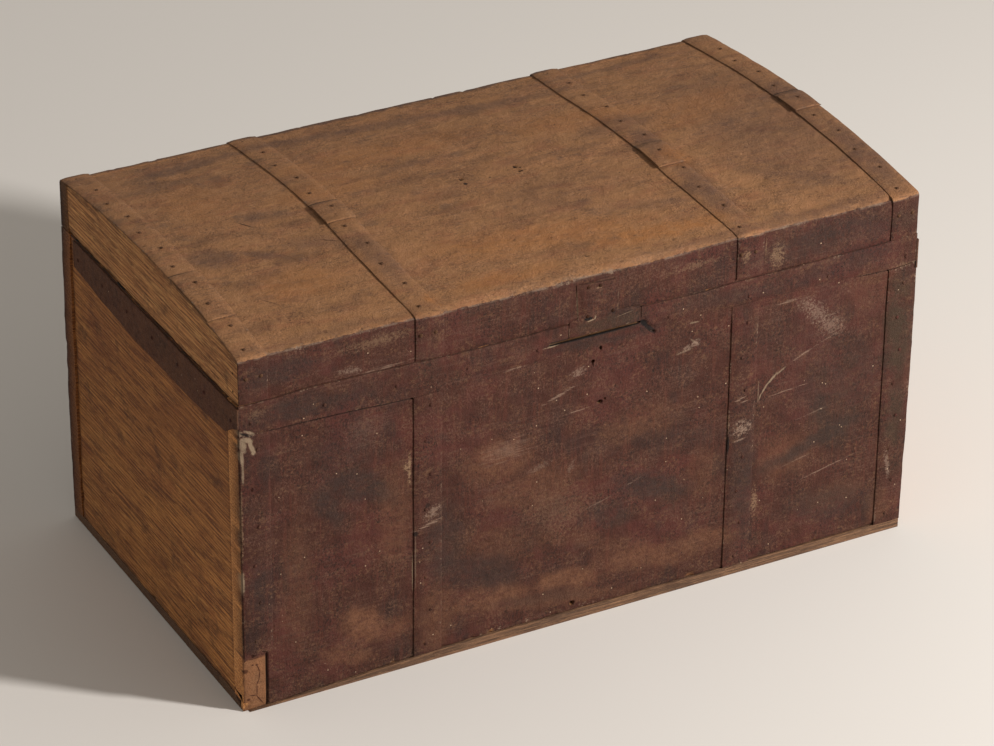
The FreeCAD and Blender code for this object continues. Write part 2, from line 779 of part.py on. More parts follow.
def lock_spring():
    """Bowed leaf that bears up under the bolt's head, from a foot on the lock plate."""
    under = bolt_middle() - bolt_head_height / 2.0 - guide_clearance
    right = bolt_tail_span()[0] - bolt_tail_gap
    left = bolt_nose() - bolt_head_length
    low = under - spring_drop
    middle = (left + right) / 2.0
    start = lock_face + lock_plate_thickness
    edges = [
        Part.Arc(V(left, start, low), V(middle, start, under - spring_bow - spring_thickness),
                 V(right, start, under - spring_thickness)).toShape(),
        Part.LineSegment(V(right, start, under - spring_thickness), V(right, start, under)).toShape(),
        Part.Arc(V(right, start, under), V(middle, start, under - spring_bow),
                 V(left, start, low + spring_thickness)).toShape(),
        Part.LineSegment(V(left, start, low + spring_thickness), V(left, start, low)).toShape(),
    ]
    leaf = Part.Face(Part.Wire(edges)).extrude(V(0, lock_middle + spring_width / 2.0 - start, 0))
    clear = block(left + spring_foot, right + 1, start - 1, lock_middle - spring_width / 2.0, low - 1, under + 1)
    return leaf.cut(clear)


def lock_screws():
    """Round-headed screws in the ears of the lock plate."""
    screws = []
    inset = (lock_plate_width - lock_cover_width) / 4.0
    start = lock_face + lock_plate_thickness
    for side in (-1, 1):
        for z in (collar_top - screw_inset, lock_plate_low + screw_inset):
            x = lock_x + side * (lock_plate_width / 2.0 - inset)
            point = V(x, start, z)
            head = faceted_head(point, V(0, 1, 0), screw_head_radius, screw_head_height, screw_sides, 0.0)
            rings = [(screw_radius, 0.0), (screw_radius * 0.4, -screw_length)]
            shank = tapered_prism(point, V(0, 1, 0), rings, screw_sides, 0.0)
            screws.append(head.fuse(shank))
    return Part.makeCompound(screws)


# ---------------------------------------------------------------- nails
def nail(point, outward, length, sides, turn):
    """Hand-forged nail: a low faceted head standing on a point, and a square tapering shank."""
    head = faceted_head(point, outward, nail_head_radius, nail_head_height, sides, turn)
    shank = tapered_prism(point, outward, [(nail_shank * 0.7, 0.0), (nail_tip * 0.7, -length)], 4,
                          turn + math.pi / 4)
    return head.fuse(shank)


def spread(start, end, pitch):
    """Even places from start to end, about a pitch apart."""
    count = max(1, int(round((end - start) / pitch)))
    return [start + (end - start) * number / count for number in range(count + 1)]


def nail_row(places, outward, length):
    """A group of nails, one at each place, each turned a little from the last."""
    nails = []
    for number, point in enumerate(places):
        nails.append(nail(point, outward(point), length, 6, number * 0.7))
    return nails


def straight_row(x, face, low, high, side):
    """Nail places up a flat strap, staggered about its middle."""
    places = []
    for number, z in enumerate(spread(low + nail_end_margin, high - nail_end_margin, nail_spacing)):
        stagger = nail_stagger if number % 2 else -nail_stagger
        places.append(V(x + stagger, side * face, z))
    return places


def body_strap_nails():
    places = {-1: [], 1: []}
    face = half_depth + strap_thickness
    high = collar_bottom - strap_gap
    for place, x in strap_places.items():
        low = broken_strap_end + nail_end_margin / 2.0 if place == "left_end" else bottom_thickness
        places[-1] += straight_row(x, face, low, high, -1)
        top = body_height - knuckle_radius - nail_end_margin if place in hinge_sides else high
        places[1] += straight_row(x, face, bottom_thickness, top, 1)
    nails = []
    for side in (-1, 1):
        nails += nail_row(places[side], lambda point, s=side: V(0, s, 0), strap_nail_length)
    return Part.makeCompound(nails)


def collar_nails():
    """Nails along the middle of each band, missing the catch's notch and the hinges."""
    z = (collar_top + collar_bottom) / 2.0
    face = half_depth + strap_thickness
    left, right = foot_span()
    left -= rim_slot_lead + nail_end_margin
    right += gouge_length + nail_end_margin
    nails = []
    front = [V(x, -face, z) for x in spread(-half_length + nail_end_margin, left, 2 * nail_spacing)]
    front += [V(x, -face, z) for x in spread(right, half_length - nail_end_margin, 2 * nail_spacing)]
    nails += nail_row(front, lambda point: V(0, -1, 0), strap_nail_length)
    for start, end in collar_back_spans().values():
        back = [V(x, face, z) for x in spread(start + nail_end_margin, end - nail_end_margin, 2 * nail_spacing)]
        nails += nail_row(back, lambda point: V(0, 1, 0), strap_nail_length)
    side_face = half_length + strap_thickness
    for side in (-1, 1):
        ends = [V(side * side_face, y, z) for y in
                spread(-half_depth + nail_end_margin, collar_back_end(side) - nail_end_margin,
                       1.5 * nail_spacing)]
        nails += nail_row(ends, lambda point, s=side: V(s, 0, 0), strap_nail_length)
    return Part.makeCompound(nails)


def lid_strap_nails():
    """Nails over the arch and down both faces of each lid strap."""
    nails = []
    quarter_strap = strap_width / 4.0
    near = lap_nail_reach / dome_radius
    inset = lap_nail_inset / dome_radius
    for place, x in strap_places.items():
        upper_end, lower_end, joggle = lap_angles(place)
        row = spread(-half_depth + nail_end_margin, half_depth - nail_end_margin, nail_spacing)
        for number, y in enumerate(row):
            angle = math.asin(y / dome_radius)
            if lower_end - near < angle < joggle + near:
                angle = joggle + inset
            if abs(angle - upper_end) < near:
                angle = upper_end - inset
            lift = strap_thickness
            if upper_end < angle < joggle:
                lift = 2 * strap_thickness
            height, level = end_point(dome_radius + lift, angle)
            outward = V(0, math.sin(angle), math.cos(angle))
            stagger = nail_stagger if number % 2 else -nail_stagger
            nails.append(nail(V(x + stagger, height, level), outward, strap_nail_length, 6, number * 0.7))
        for side in (-1, 1):
            face = side * (half_depth + strap_thickness)
            for offset in (-quarter_strap, quarter_strap):
                point = V(x + offset, face, lid_bottom + lid_side_height * 0.6)
                nails.append(nail(point, V(0, side, 0), strap_nail_length, 6, offset))
    return Part.makeCompound(nails)


def catch_nails():
    """Nails of the catch plate, and of the staple's plate inside the lid."""
    nails = []
    face = -half_depth - strap_thickness
    middle = lock_x + catch_plate_shift
    places = [(dx, lid_bottom + up) for dx, up in catch_nails_low]
    places += [(dx, lid_bottom + catch_plate_height - down) for dx, down in catch_nails_high]
    for dx, z in places:
        nails.append(nail(V(middle + dx, face, z), V(0, -1, 0), strap_nail_length, 6, dx))
    inset = staple_nail_inset
    inner = -half_depth + lid_front_thickness + staple_plate_thickness
    for dx in (-staple_plate_width / 2.0 + inset, staple_plate_width / 2.0 - inset):
        point = V(lock_x + dx, inner, lid_bottom + staple_plate_height - inset / 2.0)
        nails.append(nail(point, V(0, 1, 0), strap_nail_length, 6, dx))
    return Part.makeCompound(nails)


def flush_nail(point, outward):
    """Board nail driven in until its head is flush with the wood."""
    sunk = point - V(outward) * nail_head_height
    return nail(sunk, outward, board_nail_length, 4, 0.3)


def body_board_nails():
    """Nails through the front and back boards into the ends, and up through the bottom."""
    nails = []
    for side in (-1, 1):
        for end in (-1, 1):
            x = end * (half_length - wall_thickness / 2.0)
            for z in spread(board_nail_low, body_height - board_nail_drop, board_nail_spacing):
                nails.append(flush_nail(V(x, side * half_depth, z), V(0, side, 0)))
    margin = board_nail_spacing
    for y in (-half_depth + wall_thickness / 2.0, half_depth - wall_thickness / 2.0):
        for x in spread(-half_length + margin, half_length - margin, 2 * board_nail_spacing):
            nails.append(flush_nail(V(x, y, 0), V(0, 0, -1)))
    return Part.makeCompound(nails)


def lid_board_nails():
    """Nails through the lid's ends into the front rail, through the back rail into the ends, and
    down through the staves into the ends, where the end straps cover them."""
    nails = []
    along = half_length - (stave_lip + lid_end_thickness) / 2.0
    for end in (-1, 1):
        for share in (0.25, 0.65):
            z = lid_bottom + lid_side_height * share
            nails.append(flush_nail(V(end * half_length, -half_depth + lid_front_thickness / 2.0, z),
                                    V(end, 0, 0)))
            nails.append(flush_nail(V(end * (half_length - lid_end_thickness / 2.0), half_depth, z),
                                    V(0, 1, 0)))
        for y in spread(-half_depth + stave_nail_front, half_depth - stave_nail_back, board_nail_spacing):
            angle = math.asin(y / dome_radius)
            height, level = end_point(dome_radius, angle)
            nails.append(flush_nail(V(end * along, height, level), V(0, math.sin(angle), math.cos(angle))))
    return Part.makeCompound(nails)


# ---------------------------------------------------------------- build
def build():
    os.makedirs("parts", exist_ok=True)
    save(front_board(), "front_board")
    save(back_board(), "back_board")
    save(end_board(-1), "left_end_board")
    save(end_board(1), "right_end_board")
    for name, board in zip(("front", "middle", "back"), bottom_boards()):
        save(board, "bottom_board_" + name)
    save(collar_front(), "collar_front")
    save(collar_end(-1, collar_left_front_height, collar_left_back_height, collar_back_end(-1)), "collar_left")
    save(collar_end(1, collar_height, collar_height, collar_back_end(1)), "collar_right")
    for name, span in collar_back_spans().items():
        save(collar_back(*span), "collar_back_" + name)
    for place in strap_places:
        save(front_strap(place), "front_strap_" + place)
        save(back_strap(place), "back_strap_" + place)
        save(lid_front_strap(place), "lid_front_strap_" + place)
        save(lid_back_strap(place), "lid_back_strap_" + place)
    for place in hinge_sides:
        save(hinge_pin(place), "hinge_pin_" + place)
    save(lid_front_rail(), "lid_front_rail")
    save(lid_back_rail(), "lid_back_rail")
    save(lid_end(-1), "lid_left_end")
    save(lid_end(1), "lid_right_end")
    for name, stave in zip(("front", "middle", "back"), lid_staves()):
        save(stave, "lid_stave_" + name)
    save(catch_plate(), "catch_plate")
    save(lid_staple(), "lid_staple")
    save(lock_plate(), "lock_plate")
    save(lock_cover(), "lock_cover")
    save(lock_guide_studs(), "lock_guide_studs")
    save(lock_bolt(), "lock_bolt")
    save(lock_spring(), "lock_spring")
    save(lock_screws(), "lock_screws")
    save(body_strap_nails(), "body_strap_nails")
    save(collar_nails(), "collar_nails")
    save(lid_strap_nails(), "lid_strap_nails")
    save(catch_nails(), "catch_nails")
    save(body_board_nails(), "body_board_nails")
    save(lid_board_nails(), "lid_board_nails")


build()
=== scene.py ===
"""Looks of a sea chest: worn boards, thin painted straps, nails, a box lock and a plain stage.

Every piece stands where its CAD node stands.  Metres; +X along the chest, -Y is the front, +Z up.
"""
import json
import math
from functools import partial

import bpy
import numpy as np
from bpy.props import FloatProperty, FloatVectorProperty, PointerProperty
from bpy.types import Operator, Panel, PropertyGroup
from mathutils import Matrix, Vector

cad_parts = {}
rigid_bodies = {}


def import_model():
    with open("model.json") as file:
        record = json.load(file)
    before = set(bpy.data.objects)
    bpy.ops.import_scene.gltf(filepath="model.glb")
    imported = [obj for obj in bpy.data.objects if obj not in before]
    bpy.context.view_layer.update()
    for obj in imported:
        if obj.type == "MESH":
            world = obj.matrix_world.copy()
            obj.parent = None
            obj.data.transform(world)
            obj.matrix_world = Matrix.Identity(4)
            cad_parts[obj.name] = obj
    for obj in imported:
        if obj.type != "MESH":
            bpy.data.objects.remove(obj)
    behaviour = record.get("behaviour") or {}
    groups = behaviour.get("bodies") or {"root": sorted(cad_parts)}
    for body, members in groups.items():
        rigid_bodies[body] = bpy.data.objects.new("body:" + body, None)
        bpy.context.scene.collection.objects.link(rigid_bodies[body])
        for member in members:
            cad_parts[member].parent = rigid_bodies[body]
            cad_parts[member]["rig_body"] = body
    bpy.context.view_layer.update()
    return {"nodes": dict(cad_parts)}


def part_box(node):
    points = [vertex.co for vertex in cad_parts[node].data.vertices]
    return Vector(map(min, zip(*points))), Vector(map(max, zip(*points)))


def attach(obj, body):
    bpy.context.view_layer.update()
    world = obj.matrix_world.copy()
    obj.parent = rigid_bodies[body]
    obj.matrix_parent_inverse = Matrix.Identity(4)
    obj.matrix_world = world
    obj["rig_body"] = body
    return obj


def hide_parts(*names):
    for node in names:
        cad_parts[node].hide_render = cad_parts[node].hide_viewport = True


bl_info = {
    "name": "Sea Chest",
    "version": (1, 0, 0),
    "blender": (4, 5, 0),
    "location": "View3D > Sidebar > Sea Chest",
    "description": "Gives the boards, straps, nails and lock of a sea chest their worn finish",
    "category": "Object",
}

MM = 0.001
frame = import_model()


def box(node):
    """Lowest and highest corner of a CAD node as arrays."""
    low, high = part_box(node)
    return np.array(low), np.array(high)


# ------------------------------------------------------------ sizes shared by the pieces
FRONT = box("front_board")[0][1]
BACK = box("back_board")[1][1]
LEFT = box("front_board")[0][0]
RIGHT = box("front_board")[1][0]
RIM = box("back_board")[1][2]
CROWN = box("lid_stave_middle")[1][2]
LID_LOW = box("lid_back_rail")[0][2]
STRAP = box("collar_back_middle")[1][1] - BACK
DOME_RISE = 17.5 * MM
LID_EDGE = CROWN - DOME_RISE
DOME_RADIUS = (BACK ** 2 + DOME_RISE ** 2) / (2 * DOME_RISE)
DOME_CENTRE = CROWN - DOME_RADIUS
TURN_RADIUS = 4.0 * MM
# Thickness of the bottom and lid boards, depth of the rebate that carries the lid boards, and
# rounding of the body boards' edges.
FLOOR_BOARD, LID_BOARD = 12 * MM, 12 * MM
REBATE = 12.3 * MM
EDGE_ROUND = 2.5 * MM
# Width of a strap, length of its joggle, length and radius of a hinge knuckle, and the hinge's
# depth and height.
STRAP_WIDTH = 36 * MM
JOGGLE = 9.0 * MM
KNUCKLE = (36 - 0.6) / 3 * MM
KNUCKLE_RADIUS = 4.98 * MM
HINGE = (BACK + KNUCKLE_RADIUS + 0.3 * MM, (RIM + LID_LOW) / 2)
# Depth of each lap's front end and its length, in millimetres.
LAP_FRONT = {"left_end": -162, "left": -31, "right": -77, "right_end": -26}
LAP_LENGTH = {"left_end": 100, "left": 49, "right": 58, "right_end": 50}
STRAPS = ("left_end", "left", "right", "right_end")
# Outline of the torn strap's foot: places across it and heights.
TORN_END = ([0, 9, 16, 22, 29, 36], [0, 9, 3, 11, 6, 14])
HINGED = ("left", "right")

# Height of the worn front edge of the lid and of the ragged lower edge of the front board,
# both by distance from the left end, in millimetres.
EDGE_RUN = [0, 31, 120, 207, 247, 313, 374, 411, 450, 499, 550, 607, 700, 817, 850]
EDGE_DROP = [0, 0, 0.6, 0.2, 2.2, 3.6, 3.2, 1.0, 2.6, 4.2, 3.0, 0.4, 1.2, 2.0, 0.0]
FOOT_RUN = [0, 240, 850]
FOOT_HEIGHT = [0, 12, 12]
# Heights of the front band's wavy upper and lower edges, by place from the middle.
BAND_RUN = [-425, -385, -345, -300, -225, -138, -60, 58, 138, 186, 308, 391, 425]
BAND_TOP = [388.0, 388.0, 390.0, 389.2, 387.8, 384.8, 386.4, 386.4, 384.8, 386.6, 387.6, 388.8,
            390.8]
BAND_LOW_RUN = [-425, -400, -318, -219, -186, -88, 184, 349, 394, 425]
BAND_LOW = [351.7, 351.6, 349.8, 345.7, 345.8, 347.5, 356.2, 354.8, 352.9, 355.5]
# The left band's edges, by depth from the middle.
END_RUN = [-238, -224, -205, -134, -42, 33, 115, 170, 198]
END_LOW = [362.0, 356.0, 344.0, 339.6, 339.0, 338.5, 343.5, 348.8, 352.0]
END_TOP = [385.7, 385.7, 385.6, 385.4, 385.0, 384.8, 385.4, 385.3, 384.9]
# Swelling of the body's right front and left back corners, by height.
SWELL_RUN = [0, 12, 60, 150, 250, 335, 365, 386]
SWELL_RIGHT = [0.0, 0.6, 1.2, 2.6, 3.1, 3.1, 2.4, 0.0]
SWELL_LEFT = [0.0, 0.8, 2.0, 3.0, 3.1, 3.1, 2.2, 0.6]
# How far the lid's straps stray sideways, by distance over the lid from its crown.
DRIFT_RUN = [-290, -236, -160, -93, -18, 60, 150, 215, 250]
DRIFT = {"left": [2.4, 2.4, -2.0, -3.2, -0.6, 1.5, 1.6, 1.8, 0.0],
         "right": [3.5, 3.8, -2.0, -6.0, -4.0, -5.0, -6.0, -3.0, 0.0]}


# ------------------------------------------------------------ numbers and noise
def linear(code):
    """sRGB hex to linear RGBA."""
    parts = np.array([int(code[i:i + 2], 16) for i in (1, 3, 5)]) / 255
    parts = np.where(parts <= 0.04045, parts / 12.92, ((parts + 0.055) / 1.055) ** 2.4)
    return (*[float(part) for part in parts], 1.0)


def scatter(cell, seed):
    """One number from 0 to 1 for each whole-number cell, from mixing its three indices' bits."""
    mixed = (cell[..., 0] * 73856093 ^ cell[..., 1] * 19349663 ^ cell[..., 2] * 83492791
             ^ (seed * 40503 + 7))
    mixed = (mixed ^ (mixed >> 13)) * 1274126177 & 0xFFFFFFFF
    mixed = (mixed ^ (mixed >> 15)) * 668265263 & 0xFFFFFFFF
    return ((mixed ^ (mixed >> 16)) & 0xFFFF) / 65535.0


def smooth(share):
    """Soft step: 3 s^2 - 2 s^3 for a share s from 0 to 1."""
    return share * share * (3 - 2 * share)


def cloud(points, sizes, seed, octaves=3):
    """Smooth random relief from -1 to 1: values at the corners of cells of the given sizes, or
    the one size (mm), blended with a smooth step, plus finer copies at half the size and height."""
    total = np.zeros(len(points))
    weight, share = 0.0, 1.0
    scaled = points / (np.array(sizes, float) * MM)
    for octave in range(octaves):
        low = np.floor(scaled).astype(np.int64)
        part = smooth(scaled - low)
        value = np.zeros(len(points))
        for corner in range(8):
            step = np.array([corner & 1, corner >> 1 & 1, corner >> 2 & 1])
            near = np.prod(np.where(step, part, 1 - part), axis=1)
            value += near * scatter(low + step, seed + octave * 31)
        total += share * (2 * value - 1)
        weight += share
        share *= 0.5
        scaled = scaled * 2.03
    return total / weight


def uneven(points, sizes, seed, octaves=3):
    """The same relief from 0 to 1."""
    return 0.5 + 0.5 * cloud(points, sizes, seed, octaves)


def flat(u, v, level=0.0):
    """Points of a level plane, for noise over a plate's own grid."""
    return np.stack([u, v, np.full(len(u), level)], 1)


def ripple(along, size, seed):
    """The relief along one line."""
    return cloud(np.stack([along, 0 * along, 0 * along], 1), size, seed)


def ramp(values, low, high):
    """Rises from 0 at low to 1 at high."""
    return np.clip((values - low) / (high - low), 0, 1)


def lines(low, high, step, radius=0.0, extra=()):
    """Grid lines from low to high about a step apart, closer together where the edges round."""
    turn = radius * (1 - np.sin(np.radians([90, 60, 30, 0])))
    count = max(2, int(round((high - low - 2 * radius) / step)) + 1)
    even = np.linspace(low + radius, high - radius, count)
    wanted = [place for place in extra if low < place < high]
    found = np.unique(np.round(np.concatenate([low + turn, even, high - turn, wanted]), 5))
    keep = np.concatenate([[True], np.diff(found) > 0.03 * MM])
    return found[keep]


# ------------------------------------------------------------ meshes
def plate_faces(solid):
    """Quads of a plate over a grid of cells: each solid cell has one outside and one inside, and
    each border between a solid and an empty cell has one across the thickness."""
    rows, columns = solid.shape[0] + 1, solid.shape[1] + 1
    number = np.arange(rows * columns).reshape(rows, columns)
    under = rows * columns
    outer = np.stack([number[:-1, :-1][solid], number[1:, :-1][solid],
                      number[1:, 1:][solid], number[:-1, 1:][solid]], 1)
    faces = [outer, outer[:, ::-1] + under]
    padded = np.pad(solid.astype(int), 1)
    change = np.diff(padded, axis=0)[:, 1:-1]
    for sign in (1, -1):
        i, k = np.nonzero(change == sign)
        ends = [number[i, k], number[i, k + 1]][::sign]
        faces.append(np.stack([ends[0], ends[1], ends[1] + under, ends[0] + under], 1))
    change = np.diff(padded, axis=1)[1:-1]
    for sign in (1, -1):
        i, k = np.nonzero(change == sign)
        ends = [number[i + 1, k], number[i, k]][::sign]
        faces.append(np.stack([ends[0], ends[1], ends[1] + under, ends[0] + under], 1))
    return np.concatenate(faces)


def sweep_faces(stations, around):
    """Quads of a closed profile carried along a path, then one closing polygon for each end."""
    number = np.arange(stations * around).reshape(stations, around)
    beside = np.roll(number, -1, axis=1)
    quads = np.stack([number[:-1], beside[:-1], beside[1:], number[1:]], 2).reshape(-1, 4)
    return quads, [number[0], number[-1][::-1]]


def outward(points, faces):
    """True if the quads face outwards: the sum of their signed volumes is positive."""
    a, b, c, d = (points[faces[:, i]] for i in range(4))
    volume = np.einsum("ij,ij->", a, np.cross(b, c)) + np.einsum("ij,ij->", a, np.cross(c, d))
    return volume > 0


def make_mesh(name, points, quads, caps=(), marks=None, sharp=40.0):
    """Object at the origin with its place in its mesh.  Marks are named numbers at each point."""
    if not outward(points, quads):
        quads = quads[:, ::-1]
        caps = [cap[::-1] for cap in caps]
    used = np.unique(quads)
    fresh = np.zeros(len(points), np.int64)
    fresh[used] = np.arange(len(used))
    quads = fresh[quads]
    caps = [fresh[cap] for cap in caps]
    mesh = bpy.data.meshes.new(name)
    mesh.vertices.add(len(used))
    mesh.vertices.foreach_set("co", points[used].astype(np.float32).ravel())
    loops = np.concatenate([quads.ravel(), *[np.asarray(cap) for cap in caps]]).astype(np.int32)
    starts = np.concatenate([np.arange(len(quads)) * 4,
                             quads.size + np.cumsum([0, *[len(cap) for cap in caps]])[:len(caps)]])
    mesh.loops.add(len(loops))
    mesh.loops.foreach_set("vertex_index", loops)
    mesh.polygons.add(len(starts))
    mesh.polygons.foreach_set("loop_start", starts.astype(np.int32))
    mesh.update(calc_edges=True)
    marks = dict(marks or {})
    for stain, (second, spots) in STAINS.items():
        side = points[:, 1] < FRONT + 12 * MM if second == 2 else points[:, 2] > LID_EDGE - 8 * MM
        if side.any() and stain not in marks:
            marks[stain] = side * stain_values(points, second, spots)
    for mark, values in marks.items():
        layer = mesh.attributes.new(mark, "FLOAT", "POINT")
        layer.data.foreach_set("value", np.asarray(values, np.float32)[used])
    mesh.shade_smooth()
    mesh.set_sharp_from_angle(angle=math.radians(sharp))
    piece = bpy.data.objects.new(name, mesh)
    bpy.context.scene.collection.objects.link(piece)
    return piece


def seat(piece, node, material):
    """The piece stands for a CAD node: it rides on the node's body and takes its slot."""
    piece.data.materials.append(material)
    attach(piece, frame["nodes"][node]["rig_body"])
    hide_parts(node)
    return piece


# ------------------------------------------------------------ the lid's curve
def lid_corner():
    """Middle of the lid's rounded edge, from the middle of its arch, and its turn from upright."""
    reach = BACK - TURN_RADIUS
    rise = math.sqrt((DOME_RADIUS - TURN_RADIUS) ** 2 - reach ** 2)
    return reach, rise, math.atan2(reach, rise)


def over_lid(along, lift):
    """Depth and height of a point on the lid's outline: along is the distance over the arch from
    its crown, back positive; it turns down at the edges and runs on down the upright faces.
    Lift is the distance off the outline."""
    reach, rise, tilt = lid_corner()
    side = np.sign(along)
    run = np.abs(along)
    arch = DOME_RADIUS * tilt
    bend = TURN_RADIUS * (math.pi / 2 - tilt)
    angle = np.minimum(run, arch) / DOME_RADIUS
    y = (DOME_RADIUS + lift) * np.sin(angle)
    z = DOME_CENTRE + (DOME_RADIUS + lift) * np.cos(angle)
    turned = tilt + np.clip(run - arch, 0, bend) / TURN_RADIUS
    past = run > arch
    y = np.where(past, reach + (TURN_RADIUS + lift) * np.sin(turned), y)
    z = np.where(past, DOME_CENTRE + rise + (TURN_RADIUS + lift) * np.cos(turned), z)
    z = z - np.clip(run - arch - bend, 0, None)
    return side * y, z


def edge_arc():
    """Distance over the arch from the crown to the start of the upright faces, and its height."""
    _, rise, tilt = lid_corner()
    return DOME_RADIUS * tilt + TURN_RADIUS * (math.pi / 2 - tilt), DOME_CENTRE + rise


def dome_height(y):
    """Height of the lid's arch at a depth: a circle's, from its middle far under the chest."""
    return DOME_CENTRE + np.sqrt(DOME_RADIUS ** 2 - np.minimum(np.abs(y), BACK) ** 2)


def band_top(x):
    """Height of the front band's upper edge, by place along the chest."""
    return np.interp(x / MM, BAND_RUN, BAND_TOP) * MM


def band_low(x):
    """Height of the front band's lower edge, by place along the chest."""
    return np.interp(x / MM, BAND_LOW_RUN, BAND_LOW) * MM


def edge_wear(x):
    """How far the lid's front edge is worn down, by place along the chest."""
    return np.interp((x - LEFT) / MM, EDGE_RUN, EDGE_DROP) * MM


def back_lift(y):
    """Rise of the lid's boards towards the back edge, where the lid has opened a little."""
    return 1.3 * MM * smooth(ramp(y / MM, 165, 230))


def open_joint(x, z):
    """1 in the fine joint under the front band, where the band stands off the board.  It sinks a
    groove there, and it also marks the line under the band's edge that is painted dark as the
    band's shadow, with some dirt.
    """
    along = ramp(np.minimum(-x / MM - 185, 414 + x / MM), 0, 12) + ramp(x / MM, 345, 357)
    return along * np.exp(-(((z - band_low(x)) / MM + 1.9) / 0.9) ** 2)


# ------------------------------------------------------------ broad stains, worked out per point
# The second axis of their plane, then ovals: (x, height or depth, half length, half width, turn,
# strength) in mm and degrees.
STAINS = {
    "rubbed": (2, [
        (-280, 72, 26, 20, -30, 0.8), (-300, 36, 30, 10, -20, 0.45), (-245, 58, 26, 14, 0, 0.45),
        (-24, 56, 40, 13, -12, 0.75), (-120, 58, 50, 16, -6, 0.6), (-112, 236, 40, 24, 0, 0.45),
        (-65, 190, 60, 24, 0, 0.28), (80, 58, 60, 16, -10, 0.5), (262, 142, 34, 28, -20, 0.3),
        (155, 58, 40, 14, -6, 0.45), (395, 40, 20, 22, 0, 0.3), (-120, 130, 60, 22, -20, 0.18),
        (-360, 150, 16, 90, 0, 0.2), (-40, 34, 90, 9, -8, 0.45), (-190, 60, 22, 40, 0, 0.35),
        (10, 100, 80, 10, -20, 0.2), (70, 236, 50, 20, 0, 0.3), (370, 330, 30, 26, 0, 0.18),
        (330, 70, 40, 14, 0, 0.3), (-240, 200, 20, 60, 0, 0.32), (150, 150, 20, 30, 0, 0.18),
    ]),
    "smoky": (2, [
        (-282, 250, 44, 15, -32, 0.62), (-320, 236, 30, 12, -56, 0.6),
        (-300, 300, 40, 30, 0, 0.25), (8, 356, 56, 8, -2, 0.42), (86, 151, 50, 16, -20, 0.62),
        (30, 130, 30, 14, -20, 0.38), (-130, 95, 45, 22, -20, 0.5), (205, 130, 16, 80, 0, 0.42),
        (-405, 160, 14, 30, 0, 0.35), (-60, 40, 60, 8, -10, 0.3), (330, 60, 60, 22, -10, 0.4),
        (130, 200, 60, 14, -10, 0.2), (290, 420, 60, 10, 3, 0.5), (300, 412, 110, 18, 0, 0.32),
        (-370, 415, 40, 14, 0, 0.4), (300, 150, 70, 10, 14, 0.55), (-180, 150, 20, 50, 0, 0.45),
        (-340, 368, 70, 12, 0, 0.52), (240, 372, 120, 10, 0, 0.3), (330, 230, 60, 60, 0, 0.25),
        (300, 300, 80, 40, 0, 0.15), (340, 380, 60, 10, 0, 0.3),
    ]),
    "olive": (2, [
        (408, 270, 18, 70, 0, 0.8), (409, 150, 14, 60, 4, 0.62), (22, 378, 42, 10, 0, 0.55),
        (405, 415, 18, 16, 0, 0.35), (-199, 395, 14, 30, 0, 0.24), (330, 200, 40, 70, 0, 0.18),
    ]),
    "sooty": (1, [
        (-284, 190, 75, 9, 8, 0.55), (-180, 196, 50, 8, 0, 0.4), (20, 178, 170, 10, -5, 0.5),
        (-362, -45, 26, 20, -29, 0.5), (-312, -58, 30, 6, -35, 0.55), (-270, 22, 30, 12, -20, 0.4),
        (-240, -60, 40, 14, -20, 0.32), (313, -149, 70, 12, -40, 0.5), (380, -60, 40, 24, 60, 0.4),
        # The full-length oval at depth 234 darkens the lid's back edge all along.
        (130, -140, 60, 10, -14, 0.24), (190, 40, 50, 20, 0, 0.3), (0, 234, 425, 6, 0, 1),
        (345, -30, 80, 150, 0, 0.36), (250, -224, 170, 8, 0, 0.35), (-300, -224, 120, 7, 0, 0.25),
        (60, -70, 90, 40, 0, 0.14), (250, 200, 110, 6, 0, 0.4), (202, -140, 16, 60, 0, 0.52),
        (200, -20, 16, 50, 0, 0.48), (-330, 150, 60, 8, 0, 0.3), (408, -140, 18, 80, 0, 0.62),
        (407, 20, 18, 40, 0, 0.62), (-199, -120, 15, 60, 0, 0.4), (-90, 60, 80, 6, 4, 0.3),
        (90, 10, 70, 6, 0, 0.26),
    ]),
    "tawny": (1, [
        (-20, -150, 120, 26, -8, 0.5), (110, -190, 80, 14, -4, 0.7), (-300, -130, 50, 26, 0, 0.4),
        (-90, 110, 130, 26, 0, 0.36), (-180, 50, 60, 22, 0, 0.36), (150, 80, 90, 24, -6, 0.36),
        (300, 40, 70, 30, 20, 0.36), (-330, 90, 40, 40, 0, 0.3), (-90, -205, 60, 12, 0, 0.55),
        (-184, -212, 8, 12, 0, 0.8), (206, -60, 14, 26, 0, 0.6),
    ]),
}


def stain_values(points, second, spots):
    """Strength of the strongest oval stain at each point: full over its inner half, then fading to
    nothing at one and a half times its size.  The ovals lie in the plane of x and the second axis;
    cloudy noise moves the points first, so the stains are ragged."""
    points = points.copy()
    for axis in (0, second):
        points[:, axis] += 7 * MM * (cloud(points, 34, 71 + axis) + cloud(points, 12, 75 + axis))
    value = np.zeros(len(points))
    for x, level, length, width, angle, share in spots:
        turn = math.radians(angle)
        across, up = points[:, 0] / MM - x, points[:, second] / MM - level
        along = across * math.cos(turn) + up * math.sin(turn)
        aside = up * math.cos(turn) - across * math.sin(turn)
        fade = np.clip(1.5 - np.hypot(along / length, aside / width), 0, 1)
        value = np.maximum(value, share * smooth(fade))
    return value


# ------------------------------------------------------------ plates: boards, straps, bands
def border_gap(u, v):
    """Distance in the plate's own plane from its nearest straight edge."""
    return np.minimum(np.minimum(u - u.min(), u.max() - u), np.minimum(v - v.min(), v.max() - v))


def rounding(gap, radius):
    """Height that a quarter circle takes off within its radius of an edge."""
    inside = np.clip(radius - gap, 0, radius)
    return radius - np.sqrt(np.maximum(radius ** 2 - inside ** 2, 0))


